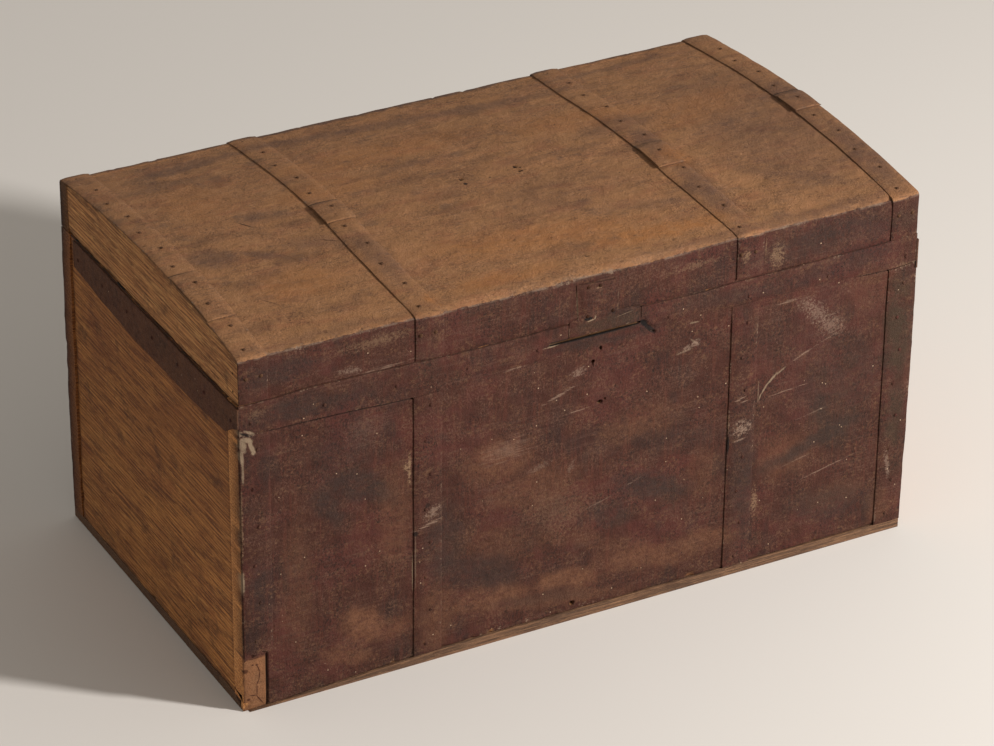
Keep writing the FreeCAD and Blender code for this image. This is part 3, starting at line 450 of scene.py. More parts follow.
def worn_spots(points, share, sizes, low, seed, finer):
    """Wear from 0 to 1, as a cloudy part and a part of separate chips that start over a level."""
    rough = np.clip(0.5 + share * cloud(points, sizes[0], seed), 0, 1)
    return rough, np.clip(4 * (cloud(points, sizes[1], seed + finer, 2) - low), 0, 1)


def build_plate(node, us, vs, thickness, place, radius, wear, relief, solid=None, wave=0.0, seed=0,
                marks=None):
    """Plate of a thickness over grid lines us and vs.
    Outside height = thickness - rounding - wear - relief, where the rounding is that of a quarter
    circle at the edges and the wear is cloudy and fades with the distance from the edge.  The
    edges also wander inwards by up to wave.  place(u, v, height) puts the points in the frame."""
    u, v = (grid.ravel() for grid in np.meshgrid(us, vs, indexing="ij"))
    level = flat(u, v, seed * 0.37)
    gap = border_gap(u, v)
    near = np.exp(-(gap / (3 * radius + 2 * MM)) ** 2)
    rough, chips = worn_spots(level, 0.9, (24, 9), 0.35, seed, 5)
    depth = rounding(gap, radius) + wear * near * (0.55 * rough + chips) + relief(u, v)
    depth = np.clip(depth, 0, thickness * 0.92)
    if wave:
        shift = wave * uneven(level, 38, seed + 9) * np.exp(-(gap / (6 * MM)) ** 2)
        mid_u, mid_v = (us[0] + us[-1]) / 2, (vs[0] + vs[-1]) / 2
        edge_u = np.minimum(u - us[0], us[-1] - u) <= np.minimum(v - vs[0], vs[-1] - v)
        u = u + np.where(edge_u, np.sign(mid_u - u) * shift, 0)
        v = v + np.where(edge_u, 0, np.sign(mid_v - v) * shift)
    points = np.concatenate([place(u, v, thickness - depth), place(u, v, 0 * u)])
    if solid is None:
        solid = np.ones((len(us) - 1, len(vs) - 1), bool)
    worn = near * (0.25 + 0.75 * np.maximum(rough, chips))
    given = {"wear": np.append(worn, 0 * u), "bare": np.repeat([0.0, 1.0], len(u))}
    given.update({mark: work(points) for mark, work in (marks or {}).items()})
    return make_mesh(node + "_skin", points, plate_faces(solid), marks=given)


def lid_top_mark(points):
    """0 below the worn front edge of the lid and 1 above it, changing over 1.6 mm."""
    rise = points[:, 2] - (LID_EDGE - 1.0 * MM - edge_wear(points[:, 0]))
    return np.clip(rise / (1.6 * MM) + 0.5, 0, 1)


def arris_mark(points):
    """1 on the line where the lid's top turns down to its front, fading over a millimetre."""
    rise = points[:, 2] - (LID_EDGE - 1.4 * MM - edge_wear(points[:, 0]))
    knocked = np.exp(-((points[:, 0] / MM + 32) / 16) ** 2)
    width = (0.9 + 1.6 * knocked) * MM
    return np.exp(-(rise / width) ** 2) * (points[:, 1] < 0) * (0.6 + 0.8 * knocked)


# ------------------------------------------------------------ masks and colour layers
def add(tree, kind, inputs=None, **settings):
    """Adds a node, gives it its settings, and links or sets its inputs by name or number."""
    node = tree.nodes.new(kind)
    for name, value in settings.items():
        setattr(node, name, value)
    for key, value in (inputs or {}).items():
        socket = node.inputs[key]
        if isinstance(value, bpy.types.NodeSocket):
            tree.links.new(value, socket)
        else:
            socket.default_value = value
    return node


def cells_of(sizes):
    """Scale of a pattern whose cells have the sizes, or the one size, in mm."""
    return [1.0 / (size * MM) for size in np.broadcast_to(sizes, 3).tolist()]


def product(tree, *parts):
    """Product of masks, each a socket, a number or the name of a mark on the piece."""
    value = None
    for part in parts:
        if isinstance(part, str):
            part = add(tree, "ShaderNodeAttribute", attribute_name=part).outputs["Fac"]
        value = part if value is None else add(
            tree, "ShaderNodeMath", {0: value, 1: part}, operation="MULTIPLY").outputs[0]
    return value


def coats(tree, base, layers):
    """Lays each colour over what is under it by the product of its masks, and returns the last
    colour."""
    under = base
    for colour, *masks in layers:
        over = linear(colour) if isinstance(colour, str) else colour
        under = add(tree, "ShaderNodeMix", {0: product(tree, *masks), 6: under, 7: over},
                    data_type="RGBA").outputs[2]
    return under


def patches(tree, place, sizes, low, high, strength=1.0, seed=0, detail=4.0, rough=0.6,
            turn=(0, 0, 0)):
    """Mask of cloudy patches about as large as the sizes (mm): 0 where the cloud is under low,
    strength where it is over high."""
    moved = add(tree, "ShaderNodeMapping", {
        "Vector": place, "Location": (seed * 3.7, seed * 1.9, seed * 5.3), "Rotation": turn,
        "Scale": cells_of(sizes)}).outputs[0]
    shade = add(tree, "ShaderNodeTexNoise", {
        "Vector": moved, "Scale": 1.0, "Detail": detail, "Roughness": rough}).outputs[0]
    return add(tree, "ShaderNodeMapRange", {
        "Value": shade, "From Min": low, "From Max": high, "To Min": 0.0, "To Max": strength},
        interpolation_type="SMOOTHSTEP").outputs[0]


def dusty(tree, place, fine, coarse, strength, seed):
    """Mask of fine patches that gather in coarse ones."""
    small = patches(tree, place, fine, 0.48, 0.64, 1.0, seed, 5.0, 0.75)
    return product(tree, small, patches(tree, place, coarse, 0.40, 0.62, strength, seed + 1, 3.0))


def specks(tree, place, spacing, radius, strength, seed=0, share=0.5):
    """Mask of small round dots of a radius (mm), one in each share of cells of a spacing (mm)."""
    moved = add(tree, "ShaderNodeMapping", {
        "Vector": place, "Location": (seed * 2.3, seed * 4.1, seed * 1.7),
        "Scale": cells_of(spacing)}).outputs[0]
    cells = add(tree, "ShaderNodeTexVoronoi", {"Vector": moved, "Scale": 1.0, "Randomness": 1.0})
    dot = add(tree, "ShaderNodeMapRange", {
        "Value": cells.outputs["Distance"], "From Min": radius / spacing * 0.6,
        "From Max": radius / spacing * 1.3, "To Min": strength, "To Max": 0.0},
        interpolation_type="SMOOTHSTEP").outputs[0]
    parts = add(tree, "ShaderNodeSeparateColor", {"Color": cells.outputs["Color"]}).outputs[0]
    chosen = add(tree, "ShaderNodeMath", {0: parts, 1: share}, operation="LESS_THAN").outputs[0]
    return product(tree, dot, chosen)


def smudges(tree, place, colour, frayed, spots, on_top=False):
    """Colour layers of oval smudges.  Each spot is (x, height, half length, half width, turn,
    strength) in mm and degrees.  The ovals lie in the XZ plane of the front and end 14 mm behind
    it, or in XY on the lid's top.  Frayed patches eat their edges."""
    layers = []
    for x, level, length, width, angle, strength in spots:
        turn = math.radians(angle)
        centre = (x * MM, level * MM, 0.0) if on_top else (x * MM, FRONT, level * MM)
        sizes = (length, width, 1e6) if on_top else (length, 14.0, width)
        axis = (0, 0, -turn) if on_top else (0, turn, 0)
        centred = add(tree, "ShaderNodeVectorMath", {0: place, 1: centre}, operation="SUBTRACT")
        turned = add(tree, "ShaderNodeVectorRotate", {
            "Vector": centred.outputs[0], "Rotation": axis}, rotation_type="EULER_XYZ")
        scaled = add(tree, "ShaderNodeVectorMath", {0: turned.outputs[0], 1: cells_of(sizes)},
                     operation="MULTIPLY")
        far = add(tree, "ShaderNodeVectorMath", {0: scaled.outputs[0]}, operation="LENGTH")
        eaten = add(tree, "ShaderNodeMath", {0: frayed, 1: 1.1, 2: far.outputs["Value"]},
                    operation="MULTIPLY_ADD")
        layers.append((colour, add(tree, "ShaderNodeMapRange", {
            "Value": eaten.outputs[0], "From Min": 0.75, "From Max": 1.35, "To Min": strength,
            "To Max": 0.0}, interpolation_type="SMOOTHSTEP").outputs[0]))
    return layers


# ------------------------------------------------------------ looks of the materials
# Late-wood lines 5 mm apart and pores 1 to 2 mm wide: base, dark, light and stain colours.
PINE = ("#b3753b", "#562a12", "#cc8f4d", "#8a502a")
BROWN_PINE = ("#8f5a30", "#522a16", "#a8703c", "#6b3d20")
# The lid's ends: the same pine made a little lighter, as painted light for the extra light they
# catch.
LID_PINE_PAINTED_LIGHTER = ("#ba7f4a", "#673a1c", "#d6a062", "#935c33")
GOLD_PINE = ("#cf9056", "#85502d", "#e0a56b", "#a76b3e")
DULL_PINE = ("#684830", "#462e1c", "#8c6646", "#573b27")
# Near black, for dirt and for painted shade in joints, slots, holes and the gap under the lid.
DIRT_AND_SHADE = "#0c0603"

# Fine marks on the front, as smudges of one colour and kind of edge: scratches through the paint,
# places chipped to the wood, rubbed and scuffed places, dark cracks and holes, and painted shade
# in the slot under the catch and under the lifted corner of the left band.
FRONT_MARKS = [
    ("#8c7260", "streaked", [
        (-99, 348, 15, 1.4, 4, 0.6), (-36, 300, 27, 2.2, 20, 0.5), (-9, 274, 18, 1.2, 5, 0.5),
        (196, 234, 9, 1.6, 14, 0.65), (200, 229, 8, 1.4, 14, 0.6), (200, 181, 15, 2.0, 6, 0.55),
        (256, 344, 22, 2.2, 4, 0.4), (259, 228, 32, 1.1, 4, 0.5), (321, 111, 42, 1.1, 12, 0.45),
        (285, 133, 34, 1.1, 12, 0.3), (-102, 247, 40, 20, 2, 0.2), (-198, 181, 20, 3.0, 16, 0.6),
        (-246, 391, 36, 2.0, 2, 0.45), (20, 148, 22, 1.4, 14, 0.3), (60, 162, 18, 1.7, 16, 0.3),
        (277, 269, 20, 1.6, 22, 0.45), (307, 281, 20, 1.2, 20, 0.35),
        (300, 190, 40, 1.3, 10, 0.25),
    ]),
    ("#7f6a55", "frayed", [
        (-421, 340, 4.5, 9, 8, 1), (-422.5, 325, 2.6, 12, 4, 1), (-416, 345.5, 8, 3.4, -20, 1),
        (-411, 336, 3.0, 8, 20, 1), (-409, 328.5, 3.4, 3.4, 0, 1), (-421.5, 305, 1.6, 12, 0, 0.8),
        (-424, 355, 4, 3.5, 0, 0.7), (-413, 354, 8, 2.2, -30, 0.9), (-424.5, 168, 2.4, 15, 0, 1),
        (-46, 365.6, 12, 1.3, 5, 1), (-8, 365.9, 28, 0.6, 0, 0.7), (-16.5, 407, 0.8, 20, 4, 0.6),
        (-26.9, 379, 0.9, 9, 5, 0.9), (34.6, 402, 0.6, 15, -4, 0.35), (0, 385.6, 6, 1.1, 8, 0.9),
        (5.0, 387.8, 1.2, 3.0, -20, 0.9), (56, 366.6, 8, 1.3, 6, 0.6),
        (-215.6, 140, 0.8, 40, 0, 0.35), (122, 314, 12, 1.4, 9, 0.4), (135, 323, 9, 1.4, -43, 0.4),
        (134, 348, 6, 1.3, -3, 0.6), (224.5, 229, 4, 1.3, 70, 0.75), (230, 238, 9, 1.4, 56, 0.8),
        (240, 249, 9, 1.6, 44, 0.8), (251, 256, 8, 1.4, 30, 0.6), (42, 383.2, 14, 0.5, 8, 0.5),
        (222, 236, 0.9, 14, 0, 0.4), (-218.5, 122, 0.7, 26, 0, 0.7),
    ]),
    ("#7b5f47", "powdery", [
        (-424, 240, 2.0, 60, 0, 0.7), (-406, 176, 4, 3, 0, 0.7), (-222, 257, 3.0, 24, 0, 0.9),
        (-226, 260, 6, 6, 0, 0.9), (223, 92, 5, 22, 0, 0.7), (239, 407, 12, 18, 0, 0.6),
        (197, 417, 6, 10, -20, 0.65), (409, 355, 20, 4, -3, 0.35), (224, 418, 1.4, 20, 0, 0.5),
        (183, 205, 1.6, 16, 0, 0.6), (8, 424, 5, 2.4, 0, 0.7), (-260, 425, 60, 8, 2, 0.35),
        (130, 420, 50, 6, 2, 0.35), (-405, 375, 16, 10, 0, 0.3), (-30, 150, 60, 40, -10, 0.18),
    ]),
    ("#816959", "powdery", [
        (-13, 323, 12, 7, 15, 0.5), (201, 195, 15, 12, 0, 0.75), (281, 333, 16, 11, -41, 0.36),
        (296, 319, 22, 15, -49, 0.42), (316, 300, 24, 17, -42, 0.4), (-194, 194, 14, 9, 30, 0.55),
        (402, 94, 4, 22, 8, 0.5), (-276, 320, 34, 28, 20, 0.1), (-60, 214, 18, 5, 15, 0.25),
        (-292, 397, 18, 5.5, -6, 0.5), (-21, 202, 13, 4, 62, 0.3), (128, 318, 14, 4, 16, 0.55),
        (137, 322, 7, 6, -40, 0.6),
    ]),
    # Near black: the first mark, in the slot under the catch, and the one at -417, under the lifted
    # corner of the left band, are painted shade; the others are dark holes, cracks and the gouge's
    # edge.
    ("#0f0704", "sharp", [
        (6, 366.6, 56, 2.3, 0, 1), (-3.4, 388.4, 5.4, 2.0, 0, 1), (27.8, 390.2, 2.2, 2.2, 0, 1),
        (68, 364.5, 5.5, 3.2, -45, 1), (76, 355.5, 11, 3.0, -46, 0.9),
        (183.5, 178, 1.4, 12, 0, 0.9), (-417, 352.3, 8, 1.6, -28, 0.9), (-201, 205, 3, 3, 0, 0.6),
        (-215.5, 172, 3, 3, 0, 0.8), (14.6, 346.5, 1.1, 3.2, 10, 0.8),
    ]),
]
# Cracks in the bare block at the left foot, and cracks and holes in the lid's top.
BLOCK_CRACKS = [
    (-407.2, 53, 0.8, 5.5, 19, 1), (-406.3, 43.5, 0.8, 6.5, -6, 1), (-408.0, 36, 0.8, 4.2, -23, 1),
    (-409.4, 26, 0.8, 9, 0, 1), (-413.8, 19.2, 5, 0.8, -8, 0.9), (-406.2, 12.1, 0.9, 8.5, 33, 1),
    (-422.5, 52.5, 3.6, 3.2, 0, 0.85), (-419.4, 15, 2.2, 2.0, 0, 0.9),
    (-414, 59, 1.6, 1.3, 0, 0.9), (-409.1, 58.2, 1.7, 1.4, 0, 0.9), (-412, 67.5, 10, 1.4, 0, 0.7),
]
LID_CRACKS = [
    (-35, 1, 3.2, 3.2, 0, 1), (-36, -11, 3.0, 3.0, 0, 1), (34, 2, 3.1, 3.1, 0, 1),
    (35, -10, 3.0, 3.0, 0, 1), (38, -3, 1.5, 1.5, 0, 0.9), (-4, -9, 1.7, 1.7, 0, 0.7),
    (-298, 11, 12, 1.2, -60, 0.9), (-230, -62, 14, 1.0, -35, 0.7), (13, -203, 3.5, 1.2, -40, 1),
    (-345, -150, 12, 0.9, -50, 0.6), (-33, 22, 12, 1.2, 0, 0.4), (60, 60, 14, 1.0, -20, 0.5),
]


def wood_grain(tree, place, along, colours, turn=0.0, seed=0):
    """Coarse softwood: dark late-wood lines about 5 mm apart that wander along the grain, fine
    streaks 1 to 2 mm wide between them, and broad stains.  The grain runs along an axis, and rises
    towards the front by the turn.  Returns the colour and the parts of its relief."""
    def grained(length, width):
        return [length if axis == along else width for axis in "xyz"]
    tilt = (math.radians(turn), 0, 0)
    streaks = partial(patches, tree, place, turn=tilt)
    base, dark, light, stain = colours
    stretched = add(tree, "ShaderNodeMapping", {
        "Vector": place, "Location": (seed * 1.3, seed * 2.1, seed * 0.7), "Rotation": tilt,
        "Scale": cells_of(grained(150, 9))}).outputs[0]
    rings = add(tree, "ShaderNodeTexWave", {
        "Vector": stretched, "Scale": 0.62, "Distortion": 7.0, "Detail": 2.0, "Detail Scale": 0.55,
        "Detail Roughness": 0.55}, wave_type="BANDS", bands_direction="Z", wave_profile="SAW")
    late = add(tree, "ShaderNodeMapRange", {
        "Value": rings.outputs[1], "From Min": 0.35, "From Max": 1.0, "To Max": 0.8},
        interpolation_type="SMOOTHSTEP").outputs[0]
    pore = streaks(grained(60, 1.6), 0.49, 0.60, 0.8, seed + 2, 4.0, 0.65)
    ridge = streaks(grained(50, 1.7), 0.52, 0.62, 0.7, seed + 3, 4.0, 0.65)
    fleck = streaks(grained(14, 1.3), 0.56, 0.68, 0.7, seed + 5, 3.0, 0.65)
    broad = patches(tree, place, grained(110, 50), 0.45, 0.62, 0.6, seed + 4)
    colour = coats(tree, linear(base), [
        (stain, broad), (dark, late, 0.75), (light, ridge), (dark, pore), (light, fleck)])
    return colour, [(ridge, 0.4), (pore, -0.5), (late, -0.25)]


def bare_wood(tree, place, along, colours, turn=0.0, seed=0):
    """Weathered softwood without paint: the soft bands have worn back, so the grain stands up."""
    cloudy = partial(patches, tree, place)
    colour, relief = wood_grain(tree, place, along, colours, turn, seed)
    colour = coats(tree, colour, [
        ("#6b3519", "reddened", cloudy((90, 90, 60), 0.30, 0.60, 0.75, seed + 12), 0.7),
        ("#4a2a16", cloudy(34, 0.54, 0.70, 0.55, seed + 8, 5.0, 0.7)),
        ("#30150a", "wear", cloudy(14, 0.30, 0.56, 0.9, seed + 9)),
        # Near black where marked: dirt, and painted shade on the ends over the bands, under the
        # lid.
        (DIRT_AND_SHADE, "grime"),
    ])
    return colour, relief + [(cloudy(3, 0.3, 0.75, 1.0, seed + 10, 4.0, 0.7), 0.15)]


def red_paint(tree, place, base):
    """Old oil paint, dark red-brown and brushed on thin: mottled, smoky in places, rubbed through
    to brown wood low down, with dusty high spots, pale scratches and specks."""
    cloudy, dust = partial(patches, tree, place), partial(dusty, tree, place)
    blurred = cloudy((8, 8, 6), 0.36, 0.62, 1.0, 40, 6.0, 0.8)
    soft = cloudy(30, 0.30, 0.60, 1.0, 38, 5.0, 0.7)
    edges = {
        "frayed": cloudy(5, 0.32, 0.68, 0.35, 39, 5.0, 0.7),
        "powdery": cloudy((4, 4, 3), 0.38, 0.62, 1.0, 44, 6.0, 0.8),
        "streaked": cloudy((26, 26, 1.6), 0.34, 0.66, 1.0, 41, 5.0, 0.75),
        "sharp": 0.05,
    }
    layers = [
        ("#48211a", cloudy((70, 70, 60), 0.46, 0.60, 0.70, 11)),
        ("#271813", cloudy((60, 60, 80), 0.52, 0.66, 0.65, 12)),
        ("#50281c", cloudy((3.2, 3.2, 60), 0.50, 0.66, 0.45, 13)),
        ("#4e3429", dust((46, 46, 1.7), (70, 70, 40), 0.65, 14)),
        ("#624636", dust((2.2, 2.2, 2.6), (26, 26, 18), 0.60, 16)),
        ("#1c0e09", dust((3.2, 3.2, 4.0), 40, 0.90, 18)),
        ("#664731", dust((5, 5, 4), (30, 30, 20), 0.55, 20)),
        ("#553422", "rubbed", soft), ("#6b4630", "rubbed", blurred),
        ("#2a1f1b", "smoky", blurred), ("#2f211b", "smoky", soft), ("#34281b", "olive", soft),
    ]
    for colour, edge, spots in FRONT_MARKS:
        layers += smudges(tree, place, colour, edges[edge], spots)
    layers += [
        ("#b09478", specks(tree, place, 13, 0.75, 0.9, 1, 0.45)),
        ("#150c0a", specks(tree, place, 19, 0.9, 0.85, 2, 0.4)),
    ]
    return coats(tree, base, layers)


def brown_paint(tree, place, base):
    """The same paint on the lid's top, sunned and rubbed to warm brown, with streaks along it."""
    cloudy, dust = partial(patches, tree, place), partial(dusty, tree, place)
    blurred = cloudy((16, 10, 10), 0.26, 0.60, 1.0, 42, 6.0, 0.75)
    layers = [
        ("#936644", cloudy((90, 36, 60), 0.46, 0.62, 0.55, 21, 6.0, 0.65)),
        ("#62432e", cloudy((80, 34, 60), 0.50, 0.66, 0.60, 22, 6.0, 0.65)),
        ("#5a4436", cloudy((50, 34, 50), 0.55, 0.69, 0.55, 23, 5.0, 0.65)),
        ("#7f5036", cloudy((60, 22, 50), 0.48, 0.64, 0.50, 46, 6.0, 0.7)),
        ("#9c714c", dust((20, 4.0, 12), (60, 40, 60), 0.50, 24)),
        ("#5c4030", dust((12, 2.6, 8), (46, 34, 50), 0.65, 26)),
        ("#9d7353", dust(2.6, (26, 22, 30), 0.60, 28)),
        ("#432c1f", dust((3.2, 2.6, 3.2), (36, 30, 40), 0.60, 43)),
        ("#543c30", "sooty", blurred), ("#5d4234", "sooty", 0.5), ("#935f34", "tawny", blurred),
    ]
    layers += smudges(tree, place, "#241309", 0.2, LID_CRACKS, True)
    layers += [
        ("#21130c", specks(tree, place, 30, 0.85, 0.9, 3, 0.4)),
        ("#b08a64", specks(tree, place, 24, 0.8, 0.5, 4, 0.4)),
    ]
    return coats(tree, base, layers)


def painted(tree, place, ground, lid=False, iron=False):
    """Old paint over wood or thin iron.  It hides the ground except where the piece is marked
    bare, it is chipped to a pale grey-brown where the piece is marked worn, and places marked with
    dirt and shade are near black: dirt, and painted shade in joints, slots and holes.  On the lid
    it turns to the brown paint above the worn edge."""
    chosen = bpy.context.scene.sea_chest_colours
    cloudy = partial(patches, tree, place)
    under = ground(tree, place)
    if not (lid or iron):
        mottled = cloudy((14, 14, 22), 0.36, 0.64, 1.0, 51, 5.0, 0.7)
        under = coats(tree, under, [("#66442e", "block", 0.9), ("#7f5436", "block", mottled)]
                      + smudges(tree, place, "#41200f", 0.15, BLOCK_CRACKS))
    paint = red_paint(tree, place, (*chosen.front_paint, 1.0))
    if lid:
        fray = cloudy((9, 9, 3), 0.30, 0.70, 0.8, 31, 6.0, 0.7)
        raised = add(tree, "ShaderNodeMath", {0: product(tree, "lid_top"), 1: fray},
                     operation="ADD")
        upper = add(tree, "ShaderNodeMapRange", {
            "Value": raised.outputs[0], "From Min": 0.85, "From Max": 1.15}).outputs[0]
        paint = coats(tree, paint, [(brown_paint(tree, place, (*chosen.lid_paint, 1.0)), upper)])
    chip = product(tree, "wear", cloudy(4, 0.46, 0.60, 1.0, 32, 6.0, 0.75))
    worn = add(tree, "ShaderNodeMapRange", {"Value": chip, "From Min": 0.35, "From Max": 0.80},
               interpolation_type="SMOOTHSTEP").outputs[0]
    paint = coats(tree, paint, [("#5f4636", worn, 0.6),
                                ("#8f7763", worn, cloudy(26, 0.46, 0.62, 0.6, 33))])
    if lid:
        broken = cloudy(16, 0.38, 0.60, 0.95, 37, 6.0, 0.75)
        paint = coats(tree, paint, [("#7f6958", "arris", broken)])
    fine = cloudy(2.4, 0.32, 0.70, 1.0, 34, 5.0, 0.75)
    relief = [(fine, 0.40), (cloudy(5.5, 0.36, 0.66, 1.0, 45), 0.10 if lid else 0.30),
              (cloudy(20, 0.35, 0.70, 1.0, 35, 3.0, 0.5), 0.6 if iron else 0.9),
              (cloudy((40, 40, 1.5), 0.35, 0.68, 1.0, 36, 3.0), 0.16), (worn, -0.3)]
    gloss = add(tree, "ShaderNodeMapRange", {
        "Value": fine, "To Min": 0.64, "To Max": 0.82}).outputs[0]
    return coats(tree, paint, [(under, "bare"), (DIRT_AND_SHADE, "grime")]), relief, gloss


def pine_ground(tree, place, colours, seed=0):
    """Ground for painted boards: bare pine with its grain along them."""
    return wood_grain(tree, place, "x", colours, 0.0, seed)[0]


def rusty_ground(tree, place):
    """Ground for painted iron: brown rust, matt and pitted."""
    rust = patches(tree, place, 9, 0.45, 0.65, 0.8, 51, 6.0, 0.7)
    return coats(tree, linear("#3b2a22"), [("#5e3a24", rust)])


def forged(tree, place, base, rust):
    """Forged iron: dark scale with rust in its pits, dull and slightly uneven."""
    spots = patches(tree, place, 6, 0.48, 0.66, 0.8, 61, 6.0, 0.7)
    scale = patches(tree, place, 2.2, 0.35, 0.7, 1.0, 62)
    return coats(tree, linear(base), [(rust, spots)]), [(scale, 0.12), (spots, 0.1)]


OIL_PAINT = {"Specular IOR Level": 0.18}
DRY_WOOD = {"Roughness": 0.75, "Specular IOR Level": 0.35}
# Each finish has its shader's constant sockets, then its look.
FINISHES = {
    "brushed_red_paint_on_pine": (OIL_PAINT, partial(
        painted, ground=partial(pine_ground, colours=GOLD_PINE))),
    "brushed_red_paint_on_brown_pine": (OIL_PAINT, partial(
        painted, ground=partial(pine_ground, colours=BROWN_PINE))),
    "rubbed_paint_on_lid_pine": (OIL_PAINT, partial(
        painted, ground=partial(pine_ground, colours=PINE, seed=3), lid=True)),
    "brushed_red_paint_on_iron": (OIL_PAINT, partial(painted, ground=rusty_ground, iron=True)),
    "rubbed_paint_on_lid_iron": (OIL_PAINT, partial(
        painted, ground=rusty_ground, lid=True, iron=True)),
    "weathered_pine_ends": (DRY_WOOD, partial(
        bare_wood, along="y", colours=PINE, turn=-5.0, seed=1)),
    "golden_pine_lid_ends": (DRY_WOOD, partial(
        bare_wood, along="y", colours=LID_PINE_PAINTED_LIGHTER, turn=-5.0, seed=9)),
    "sawn_pine_bottom": (DRY_WOOD, partial(bare_wood, along="x", colours=DULL_PINE, seed=5)),
    "forged_nail_iron": ({"Roughness": 0.85, "Specular IOR Level": 0.12},
                         partial(forged, base="#2c180d", rust="#432615")),
    "painted_nail_iron": ({"Roughness": 0.8, "Specular IOR Level": 0.12},
                          partial(forged, base="#4f3524", rust="#33200f")),
    "forged_lock_iron": ({"Metallic": 0.85, "Roughness": 0.45},
                         partial(forged, base="#57514c", rust="#5f4030")),
}


def make_material(name, constants, look=None):
    """Node material.  The look gets the node tree and the object's own coordinates, and gives the
    colour, the relief as pairs of a mask and its height in mm, and the roughness if it varies."""
    material = bpy.data.materials.new(name)
    material.use_nodes = True
    tree = material.node_tree
    tree.nodes.clear()
    inputs = dict(constants)
    if look:
        place = add(tree, "ShaderNodeTexCoord").outputs["Object"]
        colour, relief, *roughness = look(tree, place)
        height = 0.0
        for mask, rise in relief:
            height = add(tree, "ShaderNodeMath", {0: mask, 1: rise * MM, 2: height},
                         operation="MULTIPLY_ADD").outputs[0]
        bump = add(tree, "ShaderNodeBump", {"Strength": 1.0, "Distance": 1.0, "Height": height})
        inputs.update({"Base Color": colour, "Normal": bump.outputs[0]})
        inputs.update({"Roughness": value for value in roughness})
    shader = add(tree, "ShaderNodeBsdfPrincipled", inputs)
    add(tree, "ShaderNodeOutputMaterial", {"Surface": shader.outputs[0]})
    return material


def finish(name):
    """The material of that name, made on first use."""
    return bpy.data.materials.get(name) or make_material(name, *FINISHES[name])


# ------------------------------------------------------------ user settings
class SeaChestSizes(PropertyGroup):
    """Sizes of the wear."""
    grid: FloatProperty(name="Grid step", description="Spacing of the boards' surface points",
                        default=4.6 * MM, min=1 * MM, max=0.05, unit="LENGTH")
    board_wear: FloatProperty(name="Board wear", description="Deepest wear on the boards' edges",
                              default=2.4 * MM, min=0, max=0.01, unit="LENGTH")
    board_warp: FloatProperty(name="Board warp", description="Unevenness of the boards' faces",
                              default=0.7 * MM, min=0, max=0.01, unit="LENGTH")
    strap_wave: FloatProperty(name="Strap wave", description="How far the straps' edges wander",
                              default=1.0 * MM, min=0, max=0.01, unit="LENGTH")
    strap_dents: FloatProperty(name="Strap dents", description="Depth of dents in the straps",
                               default=0.7 * MM, min=0, max=0.002, unit="LENGTH")


class SeaChestColours(PropertyGroup):
    """Base colours of the paint."""
    front_paint: FloatVectorProperty(name="Front paint", description="Dark paint of the body",
                                     subtype="COLOR", default=linear("#3b1d13")[:3], min=0, max=1)
    lid_paint: FloatVectorProperty(name="Lid paint", description="Rubbed paint on the lid's top",
                                   subtype="COLOR", default=linear("#89603e")[:3], min=0, max=1)


# ------------------------------------------------------------ boards of the body
def warp(seed, scale=1.0, grain=(200, 60, 60)):
    """Unevenness of a board: broad warp and low ridges along it, always inwards."""
    depth = bpy.context.scene.sea_chest_sizes.board_warp * scale

    def relief(u, v):
        level = flat(u, v, seed * 0.61)
        ridges = uneven(level, (90, 9, 9), seed + 30, 2)
        return depth * (0.7 * uneven(level, grain, seed + 20, 2) + 0.3 * ridges)
    return relief


def gouge_depth(x, z):
    """Torn groove from the end of the slot under the catch, slanting down to the right: deepest on
    its middle line and fading across 3.5 mm."""
    start, end = np.array([65.5, 367.0]) * MM, np.array([82.0, 349.5]) * MM
    run = end - start
    share = np.clip(((x - start[0]) * run[0] + (z - start[1]) * run[1]) / (run @ run), 0, 1)
    off = np.hypot(x - start[0] - share * run[0], z - start[1] - share * run[1])
    width = (4.2 - 2.0 * share) * MM
    return 3.0 * MM * np.clip(1.25 - off / width, 0, 1)


# Keyhole: place, height, radius, width of its slot and the slot's drop.  Slot under the catch: its
# ends, heights and depth.  Small holes: place, height, half width, half height and depth.
KEYHOLE = (5.0, 332.0, 2.4, 1.7, 5.6)
SLOT = (-51.5, 63.5, 366.0, 369.0, 7.0)
SMALL_HOLES = [(15.0, 277.7, 3.4, 2.2, 7.0), (14.6, 346.2, 1.6, 2.6, 4.0),
               (-15.4, 22.9, 3.0, 2.6, 9.0), (21.0, 280.0, 1.8, 1.2, 4.0)]
# Right edge of the bare block at the foot of the left strap.
BLOCK_EDGE = -397.0


def front_relief(u, v):
    """Warp of the front board, with the slot under the catch, the gouge, small holes, and the
    groove beside the bare block at its foot."""
    depth = warp(1)(u, v)
    left, right, low, high, deep = [value * MM for value in SLOT]
    inside = (u > left) & (u < right) & (v > low) & (v < high)
    depth = np.where(inside, deep, depth + gouge_depth(u, v))
    for x, z, half_x, half_z, sink in SMALL_HOLES:
        far = np.hypot((u / MM - x) / half_x, (v / MM - z) / half_z)
        depth = depth + sink * MM * np.clip(1.6 - 1.4 * far, 0, 1)
    groove = np.exp(-((u / MM - BLOCK_EDGE) / 1.1) ** 2) * (v < 73 * MM)
    block = 1.2 * MM * ((u < BLOCK_EDGE * MM) & (v < 70 * MM))
    return depth + (groove + 0.9 * open_joint(u, v)) * 2.2 * MM + block


def cell_grid(us, vs):
    """Middles of the cells between grid lines, in mm."""
    return np.meshgrid((us[1:] + us[:-1]) / 2 / MM, (vs[1:] + vs[:-1]) / 2 / MM, indexing="ij")


